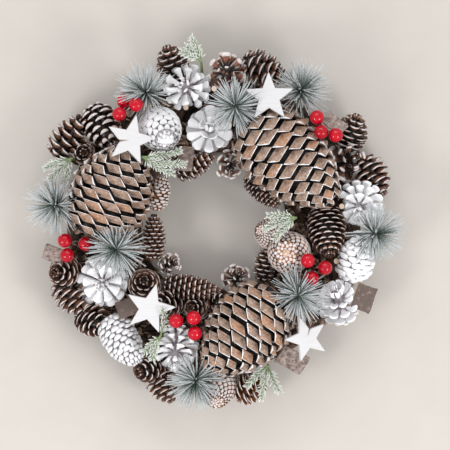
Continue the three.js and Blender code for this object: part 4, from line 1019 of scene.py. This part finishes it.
def free_line(foot, tip, others, margin):
    return not any(blocked(foot + (tip - foot) * share, others, margin) for share in (0.35, 0.6, 0.8, 1))


def needle(soup, foot, aim, length, radius, bend, chance, sides=3):
    steps = 4
    shares = np.linspace(0, 1, steps + 1)
    path = foot + np.outer(shares * length, aim) + np.outer(shares ** 2 * length, bend)
    radii = radius * np.array([0.8, 1, 1, 0.9, 0.45])
    soup.add(*tube(path, radii, sides), along=np.repeat(shares, sides), chance=chance)


def pick_shape(pick, seed):
    node, x, y, z, turn, lift = pick
    soup, axis = Soup(), np.array(direction(turn, lift))
    bud = np.array([x, y, z], float)
    low = bud - axis * BUD_LENGTH / 2
    add_stem(soup, x, y, [low, bud], [1.6, 1.6, 1.5, 1.3], other=0.7, chance=0.3)
    shares = np.linspace(0, 1, 7)
    path = bud + np.outer((shares - 0.35) * BUD_LENGTH, axis)
    soup.add(*tube(path, 1.9 * np.sin(np.pi * (0.12 + 0.86 * shares))), other=1, chance=0.5)
    reach = NEEDLE_LENGTH + 8
    others = neighbours(node, bud - reach, bud + reach, 0)
    side = np.cross(axis, (0, 0, 1) if abs(axis[2]) < 0.95 else (1, 0, 0))
    side /= np.linalg.norm(side)
    other = np.cross(axis, side)
    random = np.random.default_rng(seed)
    for index in range(NEEDLES):
        share = (index + 0.5) / NEEDLES
        around = index * GOLDEN_TURN + 0.3 * random.random()
        polar = math.radians(100 - 72 * share + 12 * (random.random() - 0.5))
        start = bud + axis * BUD_LENGTH * (share - 0.5) * 0.8
        length = NEEDLE_LENGTH * (0.78 + 0.22 * random.random())
        bend = (random.random(3) - 0.5) * 0.12
        chance = random.random()
        outward = side * math.cos(around) + other * math.sin(around)
        while polar > 0.15:
            aim = outward * math.sin(polar) + axis * math.cos(polar)
            if free_line(start, start + aim * length, others, NEEDLE_MARGIN):
                break
            polar -= 0.12
        else:
            continue
        needle(soup, start, aim, length, 0.6, bend, chance, 4)
    return soup


def twig_path(root, turn, lift, length, others):
    """A bent twig, raised where something lies under it."""
    path, raised = [root.copy()], 0.0
    for step in range(1, 9):
        share = step / 8
        point = root + np.array(direction(turn + 10 * share, lift)) * length * share + (0, 0, raised)
        while blocked(point, others, 1.4) and raised < 30:
            point[2] += 0.5
            raised += 0.5
        path.append(point)
    return np.array(path)


def add_leaves(soup, path, length, random, others):
    """Short needles round a twig. One that meets something lies closer to the twig, or is left out."""
    leaves = int(length * 3)
    for leaf in range(leaves):
        share = 0.12 + 0.88 * leaf / leaves
        at = share * 8
        low = min(int(at), 7)
        start = path[low] + (path[low + 1] - path[low]) * (at - low)
        axis = path[low + 1] - path[low]
        axis /= np.linalg.norm(axis)
        side = np.cross(axis, (0, 0, 1))
        side /= np.linalg.norm(side)
        other = np.cross(side, axis)
        around = leaf * GOLDEN_TURN
        outward = side * math.cos(around) + other * math.sin(around)
        spread = 0.6 + 0.5 * random.random()
        size = 7.5 * (0.7 + 0.4 * random.random()) * (1 - 0.25 * share)
        bend = (random.random(3) - 0.5) * 0.3
        chance = random.random()
        aim = outward * math.sin(spread) + axis * math.cos(spread)
        if not free_line(start, start + aim * size, others, LEAF_MARGIN):
            aim = outward * math.sin(spread * 0.45) + axis * math.cos(spread * 0.45)
            size *= 0.8
            if not free_line(start, start + aim * size, others, LEAF_MARGIN):
                continue
        needle(soup, start, aim, size, 0.58, bend, chance)


def sprig_shape(sprig, seed):
    node, x, y, z, twigs, long, lift = sprig
    soup = Soup()
    root = np.array([x, y, z], float)
    add_stem(soup, x, y, [root], [1.5, 1.5, 1.2], chance=0.2)
    others = neighbours(node, root - long - 12, root + long + 12, 0)
    random = np.random.default_rng(100 + seed)
    for index, turn in enumerate(twigs):
        length = long * (1 - 0.13 * (index % 2) - 0.05 * index)
        path = twig_path(root, turn, lift, length, others)
        soup.add(*tube(path, np.linspace(1.0, 0.5, 9), 6),
                 along=np.repeat(np.linspace(0, 0.7, 9), 6), chance=0.2)
        add_leaves(soup, path, length, random, others)
    return soup


for seed, pick in enumerate(PICKS, start=1):
    dress(pick[0], pick_shape(pick, seed), LOOKS["needle"])
for seed, sprig in enumerate(SPRIGS, start=1):
    dress(sprig[0], sprig_shape(sprig, seed), LOOKS["leaf"])


# The ring of twisted twigs

def add_strand(soup, strand, random):
    """One twig wound round the ring's section as it runs along the ring."""
    steps, sides = 240, 8
    angle = 2 * np.pi * np.arange(steps + 1) / steps
    start = 2 * np.pi * strand / STRANDS
    radius = 2.8 + 2.2 * random.random()
    lumps = 1 + 0.08 * np.sin(angle * (5 + strand % 4) + strand)
    turn = start + STRAND_TURNS * angle
    half_wide, half_high = RING_WIDTH / 2 - radius - 0.6, 8.0 - radius
    across = half_wide * np.sign(np.cos(turn)) * np.abs(np.cos(turn)) ** 0.7
    out = RING_RADIUS + across
    height = 8.2 + half_high * np.sin(turn)
    x, y = out * np.cos(angle), out * np.sin(angle)
    tops = np.array([ring_top(a, b) for a, b in zip(x, y)])
    radii = np.minimum(radius * lumps, np.maximum(tops / 2, 1.5))
    height = np.clip(height, radii + 0.05, np.maximum(tops - radii, radii + 0.05))
    path = np.column_stack([x, y, height])
    points, faces = tube(path, radii, sides, False)
    points = points[:-sides]
    wrap = steps * sides
    faces = [tuple(corner if corner < wrap else corner - wrap for corner in face) for face in faces]
    soup.add(points, faces, chance=random.random(), along=0.5)


def add_stub(soup, x, y, z):
    """A cut twig that rises out of the ring, with its pale end."""
    foot = foot_on(x, y) - (0, 0, 6)
    end = np.array([x, y, z])
    sides, shares = 14, np.linspace(0, 1, 8)
    path = foot + np.outer(shares, end - foot)
    points, faces = tube(path, 2.55 * (1 + 0.04 * np.sin(shares * 20)), sides, False)
    soup.add(points, faces, chance=0.4)
    ring = points[-sides:]
    cap = np.vstack([ring * 0.92 + end * 0.08 + (0, 0, 0.05), [end + (0, 0, 0.1)]])
    fan = [(sides + k, sides + (k + 1) % sides, 2 * sides) for k in range(sides)]
    soup.add(np.vstack([ring, cap]), bands(1, sides) + fan, other=1, chance=0.5)


def ring_shape():
    soup = Soup()
    random = np.random.default_rng(7)
    for strand in range(STRANDS):
        add_strand(soup, strand, random)
    for x, y, z in STUBS:
        add_stub(soup, x, y, z)
    return soup


def add_loose_scales(soup):
    """Broken scales that stand on the ring wherever nothing else does."""
    random = np.random.default_rng(23)
    ball_points, faces, unit = ball((0, 0, 0), 1, 5, 7)
    reach = RING_RADIUS + RING_WIDTH
    others = neighbours("twig_ring", (-reach, -reach, 0), (reach, reach, 40))
    for _ in range(LOOSE_SCALES):
        angle = random.uniform(0, 2 * np.pi)
        out = RING_RADIUS + RING_WIDTH * random.uniform(-LOOSE_SPREAD, LOOSE_SPREAD)
        long = random.uniform(7, 12)
        aim = direction(random.uniform(0, 360), random.uniform(12, 48))
        tone = random.uniform(1.2, 2.6)
        x, y = out * math.cos(angle), out * math.sin(angle)
        foot = np.array([x, y, ring_top(x, y) - 1])
        tip = foot + np.array(aim) * long
        near_stub = any(math.hypot(x - stub[0], y - stub[1]) < STUB_CLEARANCE for stub in STUBS)
        if near_stub or foot[2] < LOWEST_SCALE:
            continue
        if any(blocked(end, others, LOOSE_MARGIN) for end in (foot + (0, 0, 2), tip)):
            continue
        chip = ball_points * (0.5, 0.36, 0.09)
        chip[:, 1] *= 0.75 + 0.5 * ball_points[:, 0]
        chip[:, 2] += 0.22 * ball_points[:, 0] ** 2
        spin = Vector((1, 0, 0)).rotation_difference(aim)
        soup.add(turned(chip * long, spin, (foot + tip) / 2), faces, chance=tone,
                 other=TORN_EDGE * smooth(0.1, 0.9, unit[:, 0]))


ring = ring_shape()
add_loose_scales(ring)
ring.piece("twig_ring_detail", LOOKS["twig"], "twig_ring")


# Floor, lights and camera

def floor():
    mesh = bpy.data.meshes.new("floor")
    half = 3
    corners = [(-half, -half, 0), (half, -half, 0), (half, half, 0), (-half, half, 0)]
    mesh.from_pydata(corners, [], [(0, 1, 2, 3)])
    thing = bpy.data.objects.new("floor", mesh)
    bpy.context.collection.objects.link(thing)
    shade = Shade("pale_floor", 0.8)
    mesh.materials.append(shade.done(shade.mix(shade.noise(30, 3), (0.50, 0.465, 0.43), (0.54, 0.505, 0.47))))


def area_light(name, aim, distance, size, power, colour=(1, 1, 1)):
    light = bpy.data.lights.new(name, "AREA")
    light.shape = "RECTANGLE"
    light.size, light.size_y = size
    light.energy = power
    light.color = colour
    thing = bpy.data.objects.new(name, light)
    aim = Vector(aim).normalized()
    thing.location = aim * distance
    thing.rotation_euler = aim.to_track_quat("Z", "Y").to_euler()
    bpy.context.collection.objects.link(thing)


def camera():
    distance, width = 2.2, 0.4345
    data = bpy.data.cameras.new("camera")
    data.sensor_width = 36
    data.lens = 36 * distance / width
    thing = bpy.data.objects.new("camera", data)
    thing.location = (0.011, 0, 0.05 + distance)
    bpy.context.collection.objects.link(thing)
    bpy.context.scene.camera = thing


floor()
area_light("left_box", (-0.60, -0.46, 0.66), 1.3, (0.4, 0.4), 7.2)
area_light("right_box", (0.60, -0.46, 0.66), 1.3, (0.4, 0.4), 7.2)
area_light("top_box", (0, 0.86, 0.7), 1.6, (1.4, 0.7), 10.4)
world = bpy.data.worlds.new("world")
bpy.context.scene.world = world
world.use_nodes = True
background = world.node_tree.nodes["Background"].inputs
background["Color"].default_value = (1, 1, 1, 1)
background["Strength"].default_value = 0.74
bpy.context.scene.view_settings.view_transform = "Standard"
camera()
